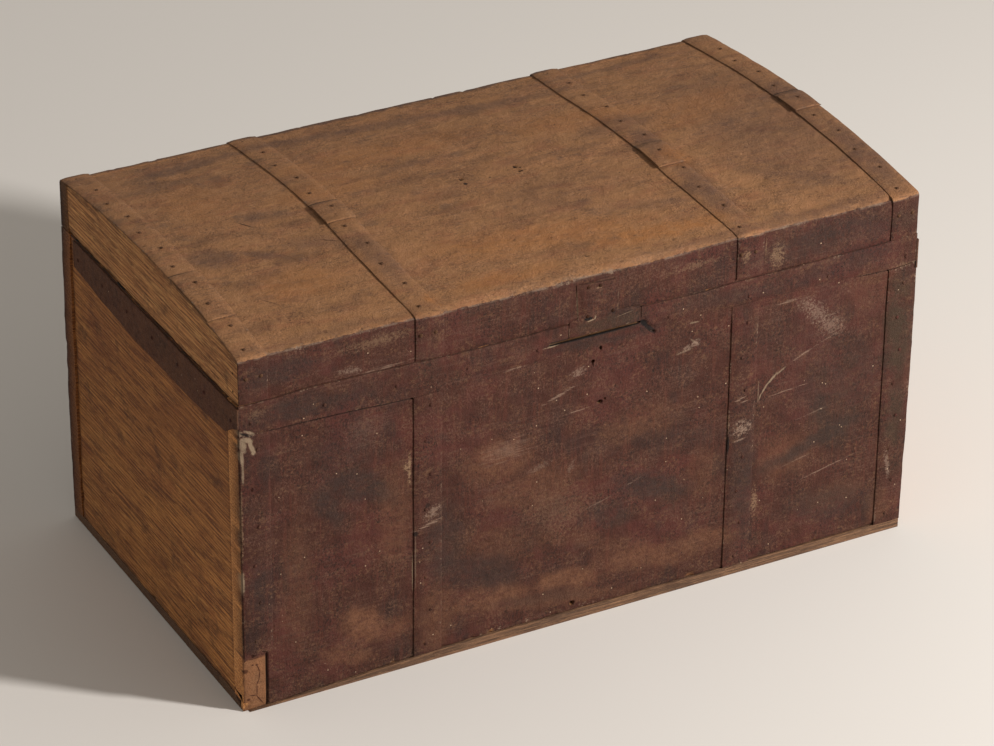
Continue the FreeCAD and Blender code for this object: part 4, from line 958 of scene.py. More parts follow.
def build_front_board(material):
    """Front board with its keyhole cut through.  The lower edge of its face drops to the floor
    near the left end, where the board covers the bottom's edge.  The grid is closer at the
    keyhole, the slot, the gouge, the small holes and the block."""
    sizes = bpy.context.scene.sea_chest_sizes
    low, high = box("front_board")
    columns = np.concatenate([
        np.arange(-20.4, 24, 0.8), np.arange(63, 88, 1.5), [-51.8, -51.4, 63.3, 63.7],
        [-399, -398, -397.5, -397, -396.5, -396, -395]])
    rows = np.concatenate([
        np.arange(322, 350, 0.8), np.arange(274, 283, 1.0), np.arange(21, 32, 1.0),
        np.arange(340, 360, 0.8), np.arange(360, 370, 1.6), [365.8, 366.1, 368.9, 369.2],
        [69.6, 70.4, 73.2]])
    us = lines(low[0], high[0], sizes.grid, EDGE_ROUND, columns * MM)
    vs = lines(FLOOR_BOARD, high[2], sizes.grid, EDGE_ROUND, rows * MM)
    x, z, radius, width, drop = KEYHOLE
    cell_u, cell_v = cell_grid(us, vs)
    hole = np.hypot(cell_u - x, cell_v - z) < radius
    hole |= (np.abs(cell_u - x) < width / 2) & (cell_v < z) & (cell_v > z - drop)

    def place(u, v, height):
        foot = np.interp((u - LEFT) / MM, FOOT_RUN, FOOT_HEIGHT) * MM
        lower = 1 - ramp(v, FLOOR_BOARD, FLOOR_BOARD + 40 * MM)
        drop = (FLOOR_BOARD - foot) * lower * (height > 20 * MM)
        return np.stack([u, high[1] - height, v - drop], 1)
    piece = build_plate("front_board", us, vs, high[1] - low[1], place, EDGE_ROUND,
                        sizes.board_wear, front_relief, ~hole, seed=1,
                        marks={"bare": bare_front, "grime": front_dirt_and_shade, "block": on_block})
    return seat(piece, "front_board", material)


def bare_front(points):
    """Bare everywhere but on the face, and on the block where the strap is broken off."""
    off_face = ramp(points[:, 1] - FRONT, 3.0 * MM, 4.5 * MM)
    block = (points[:, 0] < (BLOCK_EDGE - 0.5) * MM) & (points[:, 2] < 69 * MM)
    return np.maximum(off_face, block)


def on_block(points):
    """On the face of the block, with a little of what is round it."""
    return (points[:, 1] < FRONT + 4 * MM) & (points[:, 2] < 74 * MM) & (points[:, 0] < -396 * MM)


def front_dirt_and_shade(points):
    """Painted shade with some dirt: a dark line in the joint under the band, where the band's
    shadow falls, and dark in the slot, in the groove beside the bare block and in small deep holes."""
    on_face = points[:, 1] < FRONT + 8 * MM
    x, z = points[:, 0], points[:, 2]
    left, right, low, high = [value * MM for value in SLOT[:4]]
    slot = (x > left) & (x < right) & (z > low) & (z < high)
    groove = np.exp(-((x / MM + 397.6) / 1.3) ** 2) * (z < 72 * MM)
    inside = (np.abs(x) < 415 * MM) & (z > 18 * MM) & (z < 380 * MM)
    sunk = inside * ramp(points[:, 1] - FRONT, 2.2 * MM, 3.0 * MM)
    return on_face * np.max([open_joint(x, z), slot, 0.9 * groove, 0.9 * sunk], axis=0)


def shade_over_band(points):
    """Painted shade with some dirt on the ends' outer faces over the bands, in the gap under the
    lid.
    """
    return (np.abs(points[:, 0]) > RIGHT - 1 * MM) * ramp(points[:, 2], 384.4 * MM, 385.2 * MM)


def build_end_board(node, side, material, seed):
    """End board: grid along the depth and up, thickness outwards.  It is redder in its upper
    half."""
    sizes = bpy.context.scene.sea_chest_sizes
    low, high = box(node)
    us = lines(low[1], high[1], 3.6 * MM, 0.6 * MM)
    vs = lines(low[2], high[2], 3.6 * MM, 1.2 * MM, [384.4 * MM, 385.2 * MM])
    inner = high[0] if side < 0 else low[0]
    piece = build_plate(node, us, vs, high[0] - low[0],
                        lambda u, v, h: np.stack([inner + side * h, u, v], 1), 0.6 * MM,
                        sizes.board_wear * 0.5, warp(seed, 1.3, (160, 45, 45)), seed=seed,
                        marks={"grime": shade_over_band,
                               "reddened": lambda p: 0.7 * ramp(p[:, 2], 130 * MM, 280 * MM)})
    return seat(piece, node, material)


def build_back_board(material):
    """Back board, whose left end swells outwards and is ragged."""
    low, high = box("back_board")
    us = lines(low[0], high[0], 6 * MM, EDGE_ROUND)
    vs = lines(low[2], high[2], 6 * MM, EDGE_ROUND)

    def place(u, v, height):
        swell = np.interp(v / MM, SWELL_RUN, SWELL_LEFT) * MM * (0.7 + 0.3 * ripple(v, 14, 8))
        return np.stack([u - swell * (u < low[0] + 2.4 * MM), low[1] + height, v], 1)
    piece = build_plate("back_board", us, vs, high[1] - low[1], place, EDGE_ROUND,
                        bpy.context.scene.sea_chest_sizes.board_wear, warp(7), seed=7)
    return seat(piece, "back_board", material)


# ------------------------------------------------------------ boards of the lid
def rail_profile():
    """Outline of a lid rail, from the lower outer corner up the face and round the edge to the
    rebate that carries the boards, then down the inside.  Depth is measured from the middle of the
    lid, outwards positive."""
    arc_end, bend_height = edge_arc()
    face = [(BACK, z) for z in np.linspace(LID_LOW + 0.4 * MM, bend_height, 18)]
    turn = np.linspace(arc_end, arc_end - 8 * MM, 14)[1:]
    rounded = [tuple(pair) for pair in np.stack(over_lid(turn, 0.0), 1)]
    shoulder = BACK - LID_BOARD
    flat_run = np.linspace(rounded[-1][0], shoulder - 0.02 * MM, 4)[1:]
    lip = [(y, float(dome_height(y))) for y in flat_run]
    step = [(shoulder - 0.03 * MM, float(dome_height(shoulder)) - REBATE)]
    return face + rounded + lip + step


def on_end(x):
    """1 on the ends of a piece that is as long as the chest."""
    return np.abs(x) > -LEFT - 0.01 * MM


def build_rail(node, side, material, seed):
    """Rail of the lid: the profile carried along the chest.  Points near the rounded edge sink by
    the edge's wear, and the face is a little uneven.  The back rail's rebate stops short of its
    ends."""
    sizes = bpy.context.scene.sea_chest_sizes
    low, high = box(node)
    inner = abs(high[1] if side < 0 else low[1])
    whole_end = LID_BOARD if side > 0 else 0.0
    first, last = low[0] + whole_end, high[0] - whole_end
    xs = lines(low[0], high[0], 3.0 * MM, 0, [first, first + 0.1 * MM, last, last - 0.1 * MM])
    profile = rail_profile()
    profile += [(inner, profile[-1][1]), (inner, LID_LOW), (BACK - 0.4 * MM, LID_LOW)]
    profile = np.array(profile)
    around = len(profile)
    x = np.repeat(xs, around)
    y = side * np.tile(profile[:, 0], len(xs))
    z = np.tile(profile[:, 1], len(xs))
    if side > 0:
        solid = (np.abs(x) > last - 0.02 * MM) & (np.tile(np.arange(around), len(xs)) > around - 5)
        solid &= z > LID_LOW + 10 * MM
        z = np.where(solid, dome_height(y), z)
    points = np.stack([x, y, z], 1)
    edge = np.exp(-(np.hypot(np.abs(y) - BACK, z - LID_EDGE) / (6.5 * MM)) ** 2)
    worn = edge_wear(x) if side < 0 else 0.0 * x
    rough, chips = worn_spots(points, 0.8, (26, 10), 0.3, seed, 3)
    sink = edge * (worn + sizes.board_wear * (0.3 * rough + 0.5 * chips))
    on_face = (np.abs(y) > BACK - 0.1 * MM).astype(float)
    hollow = sizes.board_warp * uneven(points, (90, 30, 30), seed + 6) * on_face
    points[:, 1] -= np.sign(y) * (sink * 0.35 + hollow)
    points[:, 2] -= sink * (z > LID_LOW + 20 * MM)
    points[:, 2] += back_lift(y) * (z > LID_LOW + 25 * MM)
    quads, caps = sweep_faces(len(xs), around)
    bare = ramp(-np.abs(y), 13 * MM - BACK, 14 * MM - BACK)
    if side < 0:
        bare = np.maximum(bare, on_end(x))
    marks = {"wear": edge * (0.4 + 0.6 * np.maximum(rough, chips)), "bare": bare,
             "grime": 0.6 * (side > 0) * on_end(x), "lid_top": lid_top_mark(points),
             "arris": arris_mark(points)}
    return seat(make_mesh(node + "_skin", points, quads, caps, marks), node, material)


# Holes in the lid's top: place along, distance over the arch and radius.
LID_HOLES = [(-35, 1, 1.7), (-36, -11, 1.6), (34, 2, 1.7), (35, -10, 1.5), (12, -204, 1.6)]


def build_stave(node, material, seed):
    """Board of the arch: grid along the chest and over the arch."""
    sizes = bpy.context.scene.sea_chest_sizes
    low, high = box(node)
    first, last = np.arcsin(np.array([low[1], high[1]]) / DOME_RADIUS) * DOME_RADIUS
    us = lines(low[0], high[0], 3.6 * MM)
    vs = lines(first - 0.13 * MM, last + 0.13 * MM, 3.6 * MM)

    def place(u, v, height):
        y, z = over_lid(v, height - LID_BOARD)
        return np.stack([u, y, z + back_lift(y)], 1)

    def relief(u, v):
        hollow = uneven(flat(u, v), (170, 70, 50), 71, 2)
        creases = np.clip(5 * (cloud(flat(u, v), (60, 16, 16), 72) - 0.42), 0, 1)
        pits = 0 * u
        for x, y, radius in LID_HOLES:
            far = np.hypot(u / MM - x, v / MM - y) / radius
            pits = np.maximum(pits, np.clip(1.8 - 1.5 * far, 0, 1))
        edge = ramp(v, 26 * MM - BACK, 36 * MM - BACK)
        return sizes.board_warp * (hollow * 0.9 + creases * 0.7) * edge + pits * 4 * MM
    piece = build_plate(node, us, vs, LID_BOARD, place, 0.0, 0.0, relief, seed=seed,
                        marks={"lid_top": lambda p: np.ones(len(p)),
                               "wear": lambda p: np.zeros(len(p))})
    return seat(piece, node, material)


def build_lid_end(node, side, material, seed):
    """Arched end board carried along the lid's depth: each station is an upright profile whose
    outer lip reaches the arch and whose inner part stops under the top's boards."""
    sizes = bpy.context.scene.sea_chest_sizes
    low, high = box(node)
    ys = lines(low[1], high[1], 3.0 * MM, 1.2 * MM)
    outer, inner = (low[0], high[0]) if side < 0 else (high[0], low[0])
    heights = lines(0.0, 1.0, 0.07, 0.03)
    lip = outer - side * 11.7 * MM
    across = np.concatenate([np.full(len(heights), outer), [lip, lip, inner, inner]])
    share = np.concatenate([heights, [1.0, 1.0, 1.0, 0.0]])
    drop = np.append(np.zeros(len(heights) + 1), [REBATE, REBATE, 0.0])
    around = len(across)
    y = np.repeat(ys, around)
    top = dome_height(y) - rounding(np.maximum(BACK + y, 0), TURN_RADIUS)
    z = low[2] + np.tile(share, len(ys)) * (top - low[2]) - np.tile(drop, len(ys))
    points = np.stack([np.tile(across, len(ys)), y, z], 1)
    gap = np.minimum(z - low[2], top - z)
    face = np.tile(np.arange(around) < len(heights), len(ys))
    rough = np.clip(0.5 + 0.9 * cloud(points, 20, seed), 0, 1)
    near = np.exp(-(gap / (3 * MM)) ** 2) * face
    hollow = sizes.board_warp * uneven(points, (20, 160, 14), seed + 2) * face
    points[:, 0] -= side * (near * rough * sizes.board_wear * 0.6 + hollow)
    quads, caps = sweep_faces(len(ys), around)
    marks = {"wear": near * (0.4 + 0.6 * rough), "bare": 1.0 - face}
    return seat(make_mesh(node + "_skin", points, quads, caps, marks), node, material)


# ------------------------------------------------------------ straps, bands and the catch
def dents(seed, scale=1.0):
    """Hammered and pressed unevenness of a thin strap."""
    depth = bpy.context.scene.sea_chest_sizes.strap_dents * scale
    return lambda u, v: depth * uneven(flat(u, v, seed * 0.83), 26, seed + 40)


def hammered_edges(us, sink, reach=5 * MM):
    """Sink of a strap's face towards its two long edges, which are hammered thin."""
    low, high = us[0], us[-1]
    return lambda u: sink * np.exp(-(np.minimum(u - low, high - u) / reach) ** 2)


def knuckle(middle, span):
    """Rolled eye of a hinge leaf: a ring of square section, as points and quads."""
    count = 28
    bore, rim = 2.59 * MM, KNUCKLE_RADIUS - 0.01 * MM
    angle = np.linspace(0, 2 * np.pi, count, endpoint=False)
    corners = [(span[0], rim), (span[1], rim), (span[1], bore), (span[0], bore)]
    rings = [np.stack([np.full(count, middle + x), HINGE[0] + r * np.sin(angle),
                       HINGE[1] + r * np.cos(angle)], 1) for x, r in corners]
    number = np.arange(4 * count).reshape(4, count)
    after = np.roll(number, -1, axis=0)
    quads = np.stack([number, after, np.roll(after, -1, axis=1), np.roll(number, -1, axis=1)], 2)
    return np.concatenate(rings), quads.reshape(-1, 4)


def join_knuckles(piece, middle, spans):
    """Adds the rolled eyes to a hinge leaf's mesh."""
    eyes = [make_mesh(piece.name + "_eye", *knuckle(middle, span)) for span in spans]
    with bpy.context.temp_override(active_object=piece, selected_editable_objects=[piece, *eyes]):
        bpy.ops.object.join()


def build_flat_strap(node, side, material, seed, ragged=None):
    """Strap on the front (side -1) or back (side 1) of the body.  Ragged is the outline of a torn
    lower end.  The front straps follow the wavy band over them, and the right one swells."""
    sizes = bpy.context.scene.sea_chest_sizes
    low, high = box(node)
    us = lines(low[0], high[0], 3 * MM, 0.7 * MM)
    vs = lines(low[2], high[2], 3 * MM, 0.7 * MM)
    base = FRONT if side < 0 else BACK
    thin, dented = hammered_edges(us, 0.9 * MM), dents(seed)

    def relief(u, v):
        flush = 1.5 * MM * ((u > -150 * MM) & (u < 330 * MM) & (side < 0))
        return thin(u) + dented(u, v) + flush * ramp(v - high[2], -14 * MM, -2 * MM)

    def place(u, v, height):
        if ragged is not None:
            end = np.interp((u - low[0]) / MM, ragged[0], ragged[1]) * MM
            v = v + end * (1 - ramp(v - low[2], 0, 25 * MM))
        if side < 0:
            swell = np.interp(v / MM, SWELL_RUN, SWELL_RIGHT) * MM * (high[0] > 420 * MM)
            swell = swell + 0.5 * MM * (swell > 0) * ripple(v, 18, 9)
            u = u + swell * ramp(u - high[0], -14 * MM, 0)
            rise = band_low(u) - 0.4 * MM - high[2]
            v = v + rise * ramp(v - high[2], -30 * MM, 0)
        return np.stack([u, base + side * height, v], 1)
    piece = build_plate(node, us, vs, STRAP, place, 0.7 * MM, 0.3 * MM, relief,
                        wave=sizes.strap_wave, seed=seed)
    return seat(piece, node, material)


def lap_places(place):
    """Distances over the arch of the upper strap's end, the lower strap's end and the joggle."""
    start = LAP_FRONT[place] * MM
    end = start + LAP_LENGTH[place] * MM
    places = (start, end - JOGGLE - 0.5 * MM, end)
    return [math.asin(y / DOME_RADIUS) * DOME_RADIUS for y in places]


def build_lid_strap(node, place, front, material, seed):
    """Strap over the lid: grid across it and along the lid's outline.  The back length steps up by
    its own thickness at the joggle and lies on the front length from there on.  A hinged one
    narrows to a tongue, which runs into its rolled eye."""
    sizes = bpy.context.scene.sea_chest_sizes
    low, high = box(node)
    middle = (low[0] + high[0]) / 2
    upper_end, lower_end, joggle = lap_places(place)
    edge, bend_height = edge_arc()
    hinged = not front and place in HINGED
    foot = edge + bend_height - (HINGE[1] if hinged else low[2])
    span = (-foot, lower_end) if front else (upper_end, foot)
    bend = (-1 if front else 1) * np.linspace(edge - 9 * MM, edge + 1 * MM, 12)
    us = lines(low[0], high[0], 3 * MM, 0.7 * MM)
    vs = lines(span[0], span[1], 3 * MM, 0.7 * MM, bend)
    vs = np.unique(np.round(np.append(vs, joggle + np.arange(-3, 3) * MM), 5))
    if hinged:
        vs = np.unique(np.append(vs, [foot - 5.61 * MM, foot - 5.4 * MM]))
    thin, dented = hammered_edges(us, 1.0 * MM), dents(seed, 0.9)

    def lap_dirt_and_shade(points):
        """Dark line across the strap on the joggle, where the upper length steps over the lower
        one's end: painted shade with some dirt.
        """
        place_on = np.arcsin(np.clip(points[:, 1] / DOME_RADIUS, -1, 1)) * DOME_RADIUS
        return (0.0 if front else 0.8) * np.exp(-((place_on - joggle) / (1.3 * MM)) ** 2)

    def put(u, v, height):
        lift = 0.0 * v if front else STRAP * ramp(-v, -joggle, JOGGLE - joggle)
        if hinged:
            tongue = ramp(v - foot, -5.6 * MM, -5.4 * MM)
            u = middle + (u - middle) * (1 + tongue * (KNUCKLE / STRAP_WIDTH - 1))
        if place in DRIFT:
            u = u + np.interp(v / MM, DRIFT_RUN, DRIFT[place]) * MM
        y, z = over_lid(v, lift + height)
        z = z + back_lift(y) * (z > LID_LOW + 25 * MM)
        worn = edge_wear(u) * np.exp(-(np.hypot(y + BACK, z - LID_EDGE) / (8 * MM)) ** 2) * 0.6
        foot_height = np.where(y < 0, band_top(u) + 0.5 * MM, 0.0)
        return np.stack([u, y, np.maximum(z - worn, foot_height)], 1)

    piece = build_plate(node, us, vs, STRAP, put, 0.7 * MM, 0.3 * MM,
                        lambda u, v: thin(u) + dented(u, v),
                        wave=0.0 if hinged else sizes.strap_wave * 1.4, seed=seed,
                        marks={"lid_top": lid_top_mark, "arris": arris_mark, "grime": lap_dirt_and_shade})
    if hinged:
        join_knuckles(piece, middle, [(-KNUCKLE / 2, KNUCKLE / 2)])
    return seat(piece, node, material)


def build_leaf(node, material, seed):
    """Hinge strap on the back of the body, with a rolled eye at each side of its top."""
    low, high = box(node)
    middle = (low[0] + high[0]) / 2
    us = lines(low[0], high[0], 3 * MM, 0.5 * MM)
    us = np.unique(np.round(np.append(us, [low[0] + KNUCKLE, high[0] - KNUCKLE]), 6))
    shoulder = HINGE[1] - KNUCKLE_RADIUS - 0.5 * MM
    vs = np.append(lines(low[2], shoulder, 4 * MM, 0.5 * MM), HINGE[1])
    solid = np.ones((len(us) - 1, len(vs) - 1), bool)
    solid[np.abs((us[1:] + us[:-1]) / 2 - middle) < KNUCKLE / 2 + 0.3 * MM, -1] = False
    piece = build_plate(node, us, vs, STRAP, on_back, 0.0, 0.0, dents(seed, 0.6), solid, seed=seed)
    half = STRAP_WIDTH / 2
    join_knuckles(piece, middle, [(-half, KNUCKLE - half), (half - KNUCKLE, half)])
    return seat(piece, node, material)


def on_back(u, v, height):
    """Places a grid on the back of the body: along, up, and outwards by the height."""
    return np.stack([u, BACK + height, v], 1)


NOTCH = (-28.1, 64.1)
NOTCH_LOW = 366
SLOT_LEFT = -52.1


def build_front_collar(material):
    """Band under the rim, open at the notch for the catch and along the slot left of it.  Its
    edges wander, and its middle is pressed flat to the board along the lower edge."""
    low, high = box("collar_front")
    columns = np.append([SLOT_LEFT, *NOTCH], np.arange(64.6, 88, 1.5))
    us = lines(low[0], high[0], 3 * MM, 0.4 * MM, columns * MM)
    vs = lines(low[2], high[2], 3 * MM, 0.35 * MM, np.array([365.4, 366.0, 369.0]) * MM)
    cell_u, cell_v = cell_grid(us, vs)
    left = np.where(cell_v < 369, SLOT_LEFT, NOTCH[0])
    cut = (cell_u > left) & (cell_u < NOTCH[1]) & (cell_v > NOTCH_LOW)
    dented = dents(11)

    def relief(u, v):
        middle = ramp(np.minimum(u / MM + 170, 350 - u / MM), 0, 60)
        pressed = 1.3 * MM * middle * ramp(-v, -362 * MM, -350 * MM)
        return dented(u, v) + pressed + np.minimum(gouge_depth(u, v), STRAP * 0.9)

    def place(u, v, height):
        lower = (band_low(u) - low[2]) * ramp(-v, -362 * MM, -346 * MM)
        upper = (band_top(u) - high[2]) * ramp(v, 371 * MM, 384 * MM)
        rough = 0.5 * MM * ripple(u, 14, 12) * (lower + upper != 0)
        return np.stack([u, FRONT - height, v + lower + upper + rough], 1)

    # Painted shade: the band's edges along the slot under the catch are near black.
    def slot_dirt_and_shade(points):
        x, z = points[:, 0], points[:, 2]
        return 0.9 * ((np.abs(x - 6 * MM) < 58 * MM) & (z > 365.8 * MM) & (z < 369.2 * MM))
    piece = build_plate("collar_front", us, vs, STRAP, place, 0.35 * MM, 0.3 * MM, relief, ~cut,
                        seed=11, marks={"grime": slot_dirt_and_shade})
    return seat(piece, "collar_front", material)


def build_end_collar(node, side, edges, material, seed):
    """Band on an end.  Edges are its depth places with the lower and the upper edge's heights."""
    low, high = box(node)
    us = lines(low[1], high[1], 3 * MM, 0.6 * MM)
    vs = lines(0.0, 1.0, 0.08, 0.02)
    face = LEFT if side < 0 else RIGHT
    run, lows, tops = edges
    dented = dents(seed, 0.6)

    def place(u, v, height):
        under = np.interp(u / MM, run, lows) * MM + 0.7 * MM * ripple(u, 30, seed + 2)
        over = np.interp(u / MM, run, tops) * MM - 0.6 * MM * (1 + ripple(u, 9, seed + 3))
        return np.stack([face + side * height, u, under + (over - under) * v], 1)
    piece = build_plate(node, us, vs, STRAP, place, 0.3 * MM, 0.0, lambda u, v: dented(u, v * 0.04),
                        seed=seed, marks={"rubbed": lambda p: np.full(len(p), 0.55)})
    return seat(piece, node, material)


def build_back_collar(node, material, seed):
    """Band on the back, between the back straps, with wandering edges."""
    low, high = box(node)
    us = lines(low[0], high[0], 5 * MM, 0.6 * MM)
    vs = lines(low[2], high[2], 5 * MM, 0.6 * MM)
    piece = build_plate(node, us, vs, STRAP, on_back, 0.6 * MM, 0.4 * MM, dents(seed),
                        wave=0.6 * MM, seed=seed)
    return seat(piece, node, material)


# The catch plate's outline: heights, and its left and right edges there.
CATCH_HEIGHTS = [369.0, 386.5, 388.6, 390.4, 432.3]
CATCH_LEFT = [-27.5, -25.8, -25.0, -15.0, -18.0]
CATCH_RIGHT = [63.9, 63.9, 57.0, 35.0, 32.0]


def build_catch(material):
    """Catch plate: narrow above, with a wider foot that hangs over the rim 0.4 mm off the board."""
    low, high = box("catch_plate")
    us = lines(0.0, 1.0, 0.05, 0.012)
    vs = lines(low[2], high[2], 1.6 * MM, 0.3 * MM)
    dented = dents(13, 0.8)

    def edges(v):
        return [np.interp(v / MM, CATCH_HEIGHTS, side) for side in (CATCH_LEFT, CATCH_RIGHT)]

    def place(u, v, height):
        left, right = edges(v)
        fall = 3 * MM * u * ramp(v / MM, 415, 432)
        x = (left + (right - left) * u) * MM
        off = np.where(v < LID_LOW, 0.4 * MM, 0.0)
        return np.stack([x, FRONT - np.maximum(height, off), v - fall], 1)

    def relief(u, v):
        left, right = edges(v)
        across = u * (right - left)
        edge = 1.7 * np.exp(-(across / 6) ** 2) + 0.8 * np.exp(-((right - left - across) / 6) ** 2)
        return dented(u * 0.07, v) + edge * MM
    piece = build_plate("catch_plate", us, vs, STRAP, place, 0.3 * MM, 0.1 * MM, relief, seed=13)
    return seat(piece, "catch_plate", material)


# ------------------------------------------------------------ CAD nodes shown as they are
# Finish, width of the rounded edges, and nodes.
NODE_FINISHES = [
    ("forged_lock_iron", 0.3 * MM, ("lock_plate", "lock_cover", "lock_bolt", "lid_staple")),
    ("forged_lock_iron", 0.0, ("lock_spring", "lock_guide_studs", "lock_screws")),
    ("brushed_red_paint_on_iron", 0.0, ("body_strap_nails", "collar_nails")),
    ("forged_nail_iron", 0.0, ("hinge_pin_left", "hinge_pin_right", "catch_nails",
                               "body_board_nails")),
    ("painted_nail_iron", 0.0, ("lid_strap_nails", "lid_board_nails")),
]


def dress_node(node, material, bevel=0.0):
    """Gives a CAD node its material and, where asked, softly rounded edges."""
    piece = frame["nodes"][node]
    piece.data.materials.clear()
    piece.data.materials.append(material)
    if bevel:
        weld = piece.modifiers.new("weld", "WELD")
        weld.merge_threshold = 0.002 * MM
        soft = piece.modifiers.new("soft_edges", "BEVEL")
        soft.width = bevel
        soft.segments = 2
        soft.limit_method = "ANGLE"
        soft.angle_limit = math.radians(35)


# ------------------------------------------------------------ stage
FLOOR_REACH, FLOOR_HEIGHT = 12.0, -0.2 * MM
# The lamp: its angle over the floor and round from the front, then distance, width and power.
LAMP_RISE, LAMP_ROUND = math.radians(26.5), math.radians(43)
LAMP_AWAY, LAMP_WIDTH, LAMP_POWER = 5.0, 0.45, 372.0
# The camera: its place, its right, up and backward directions, and its lens and film width in mm.
CAMERA_PLACE = (-2.02397, -3.74389, 2.60668)
CAMERA_AXES = ((0.88077528, -0.47345223, 0.00882592), (0.22625948, 0.43714321, 0.87046681),
               (-0.41598264, -0.76468869, 0.49214799))
CAMERA_LENS, FILM_WIDTH = 153.02, 36.0


def lay_floor(scene):
    """Square floor just under the chest."""
    corners = [(x * FLOOR_REACH, y * FLOOR_REACH, FLOOR_HEIGHT)
               for x, y in ((-1, -1), (1, -1), (1, 1), (-1, 1))]
    mesh = bpy.data.meshes.new("floor")
    mesh.from_pydata(corners, [], [(0, 1, 2, 3)])
    floor = bpy.data.objects.new("floor", mesh)
    scene.collection.objects.link(floor)
    floor.data.materials.append(make_material("painted_floor", {
        "Base Color": linear("#d4cdc5"), "Roughness": 0.8, "Specular IOR Level": 0.3}))


def hang_lamp(scene):
    """Round soft lamp, aimed at the chest.  Its direction from the chest is (cos rise · sin round,
    -cos rise · cos round, sin rise)."""
    light = bpy.data.lights.new("window", "AREA")
    light.shape = "DISK"
    light.size = LAMP_WIDTH
    light.energy = LAMP_POWER
    lamp = bpy.data.objects.new("window", light)
    toward = Vector((math.cos(LAMP_RISE) * math.sin(LAMP_ROUND),
                     -math.cos(LAMP_RISE) * math.cos(LAMP_ROUND), math.sin(LAMP_RISE)))
    lamp.location = toward * LAMP_AWAY
    lamp.rotation_mode = "QUATERNION"
    lamp.rotation_quaternion = toward.to_track_quat("Z", "Y")
    lamp.visible_camera = False
    scene.collection.objects.link(lamp)


def paint_room(scene):
    """Pale room: share of the wall's tone = 1 for the camera and 0.45 for mirrored light."""
    world = bpy.data.worlds.new("room")
    scene.world = world
    world.use_nodes = True
    tree = world.node_tree
    tree.nodes.clear()
    path = add(tree, "ShaderNodeLightPath").outputs
    mirrored = add(tree, "ShaderNodeMath", {
        0: path["Is Glossy Ray"], 1: path["Is Transmission Ray"]}, operation="MAXIMUM")
    seen = add(tree, "ShaderNodeMath", {
        0: mirrored.outputs[0], 1: 0.45, 2: path["Is Camera Ray"]}, operation="MULTIPLY_ADD")
    room = add(tree, "ShaderNodeBackground", {"Color": linear("#f6f2ec"), "Strength": 0.44})
    wall = add(tree, "ShaderNodeBackground", {"Color": linear("#dcd8d2"), "Strength": 0.9})
    mixed = add(tree, "ShaderNodeMixShader", {
        0: seen.outputs[0], 1: room.outputs[0], 2: wall.outputs[0]})
    add(tree, "ShaderNodeOutputWorld", {"Surface": mixed.outputs[0]})


def place_camera(scene):
    """Camera with its directions as the columns of its turn."""
    camera = bpy.data.cameras.new("camera")
    camera.sensor_width = FILM_WIDTH
    camera.lens = CAMERA_LENS
    camera.clip_end = 50.0
    eye = bpy.data.objects.new("camera", camera)
    turn = Matrix(CAMERA_AXES).transposed().to_4x4()
    eye.matrix_world = Matrix.Translation(CAMERA_PLACE) @ turn
    scene.collection.objects.link(eye)
    scene.camera = eye
    scene.view_settings.view_transform = "Standard"


# ------------------------------------------------------------ operators
class SEACHEST_OT_body_boards(Operator):
    """Front, back and end boards of the body"""
    bl_idname = "seachest.body_boards"
    bl_label = "Body boards"

    def execute(self, context):
        build_front_board(finish("brushed_red_paint_on_pine"))
        build_end_board("left_end_board", -1, finish("weathered_pine_ends"), 2)
        build_end_board("right_end_board", 1, finish("weathered_pine_ends"), 3)
        build_back_board(finish("brushed_red_paint_on_brown_pine"))
        return {"FINISHED"}


class SEACHEST_OT_bottom(Operator):
    """Bottom boards"""
    bl_idname = "seachest.bottom"
    bl_label = "Bottom boards"

    def execute(self, context):
        for part in ("front", "middle", "back"):
            dress_node("bottom_board_" + part, finish("sawn_pine_bottom"), 0.8 * MM)
        return {"FINISHED"}


class SEACHEST_OT_lid_boards(Operator):
    """Rails, ends and arched boards of the lid"""
    bl_idname = "seachest.lid_boards"
    bl_label = "Lid boards"

    def execute(self, context):
        build_rail("lid_front_rail", -1, finish("rubbed_paint_on_lid_pine"), 31)
        build_rail("lid_back_rail", 1, finish("rubbed_paint_on_lid_pine"), 32)
        for number, part in enumerate(("front", "middle", "back")):
            build_stave("lid_stave_" + part, finish("rubbed_paint_on_lid_pine"), 33 + number)
        build_lid_end("lid_left_end", -1, finish("golden_pine_lid_ends"), 36)
        build_lid_end("lid_right_end", 1, finish("golden_pine_lid_ends"), 37)
        return {"FINISHED"}


class SEACHEST_OT_body_straps(Operator):
    """Upright straps of the front and back, with the hinge leaves"""
    bl_idname = "seachest.body_straps"
    bl_label = "Body straps"

    def execute(self, context):
        iron_paint = finish("brushed_red_paint_on_iron")
        for number, place in enumerate(STRAPS):
            build_flat_strap("front_strap_" + place, -1, iron_paint, 41 + number,
                             TORN_END if place == "left_end" else None)
            if place in HINGED:
                build_leaf("back_strap_" + place, iron_paint, 51 + number)
            else:
                build_flat_strap("back_strap_" + place, 1, iron_paint, 51 + number)
        return {"FINISHED"}


class SEACHEST_OT_lid_straps(Operator):
    """Lapped straps over the lid"""
    bl_idname = "seachest.lid_straps"
    bl_label = "Lid straps"

    def execute(self, context):
        iron_paint = finish("rubbed_paint_on_lid_iron")
        for number, place in enumerate(STRAPS):
            build_lid_strap("lid_front_strap_" + place, place, True, iron_paint, 61 + number)
            build_lid_strap("lid_back_strap_" + place, place, False, iron_paint, 71 + number)
        return {"FINISHED"}


class SEACHEST_OT_collar(Operator):
    """Bands round the rim"""
    bl_idname = "seachest.collar"
    bl_label = "Collar bands"

    def execute(self, context):
        iron_paint = finish("brushed_red_paint_on_iron")
        build_front_collar(iron_paint)
        build_end_collar("collar_left", -1, (END_RUN, END_LOW, END_TOP), iron_paint, 81)
        build_end_collar("collar_right", 1, ([-238, 238], [347, 347], [384, 384]), iron_paint, 82)
        for number, part in enumerate(("left", "middle", "right")):
            build_back_collar("collar_back_" + part, iron_paint, 83 + number)
        return {"FINISHED"}


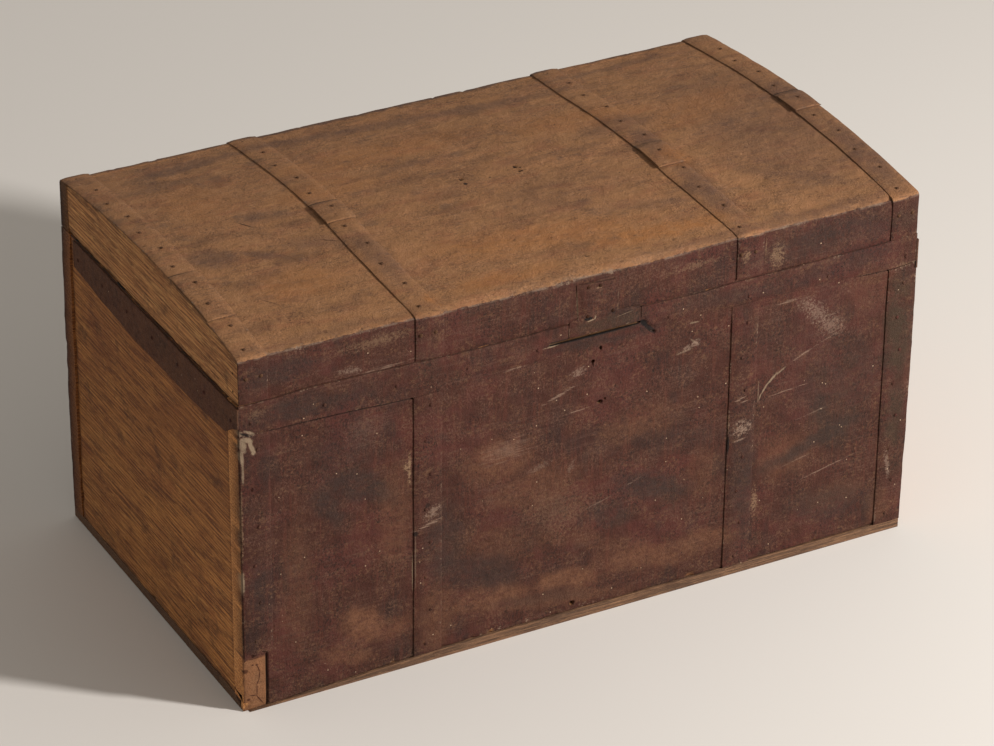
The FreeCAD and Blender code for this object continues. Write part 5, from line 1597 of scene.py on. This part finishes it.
class SEACHEST_OT_hardware(Operator):
    """Catch plate, lock, staple, hinge pins and nails"""
    bl_idname = "seachest.hardware"
    bl_label = "Catch, lock and nails"

    def execute(self, context):
        build_catch(finish("brushed_red_paint_on_iron"))
        for name, bevel, nodes in NODE_FINISHES:
            for node in nodes:
                dress_node(node, finish(name), bevel)
        return {"FINISHED"}


class SEACHEST_OT_stage(Operator):
    """Pale floor, one soft lamp, pale surroundings and the camera"""
    bl_idname = "seachest.stage"
    bl_label = "Stage"

    def execute(self, context):
        lay_floor(context.scene)
        hang_lamp(context.scene)
        paint_room(context.scene)
        place_camera(context.scene)
        return {"FINISHED"}


class SEACHEST_PT_panel(Panel):
    """Lists the chest's settings and build steps."""
    bl_idname = "SEACHEST_PT_panel"
    bl_label = "Sea Chest"
    bl_space_type = "VIEW_3D"
    bl_region_type = "UI"
    bl_category = "Sea Chest"

    def draw(self, context):
        for group in (context.scene.sea_chest_sizes, context.scene.sea_chest_colours):
            for name in group.bl_rna.properties.keys():
                if name not in ("rna_type", "name"):
                    self.layout.prop(group, name)
        for operator in OPERATORS:
            self.layout.operator(operator.bl_idname)


OPERATORS = (SEACHEST_OT_body_boards, SEACHEST_OT_bottom, SEACHEST_OT_lid_boards,
             SEACHEST_OT_body_straps, SEACHEST_OT_lid_straps, SEACHEST_OT_collar,
             SEACHEST_OT_hardware, SEACHEST_OT_stage)
CLASSES = (SeaChestSizes, SeaChestColours, *OPERATORS, SEACHEST_PT_panel)


def register():
    for item in CLASSES:
        bpy.utils.register_class(item)
    bpy.types.Scene.sea_chest_sizes = PointerProperty(type=SeaChestSizes)
    bpy.types.Scene.sea_chest_colours = PointerProperty(type=SeaChestColours)


def unregister():
    del bpy.types.Scene.sea_chest_colours
    del bpy.types.Scene.sea_chest_sizes
    for item in reversed(CLASSES):
        bpy.utils.unregister_class(item)


def main():
    register()
    bpy.ops.seachest.body_boards()
    bpy.ops.seachest.bottom()
    bpy.ops.seachest.lid_boards()
    bpy.ops.seachest.body_straps()
    bpy.ops.seachest.lid_straps()
    bpy.ops.seachest.collar()
    bpy.ops.seachest.hardware()
    bpy.ops.seachest.stage()


if __name__ == "__main__":
    main()
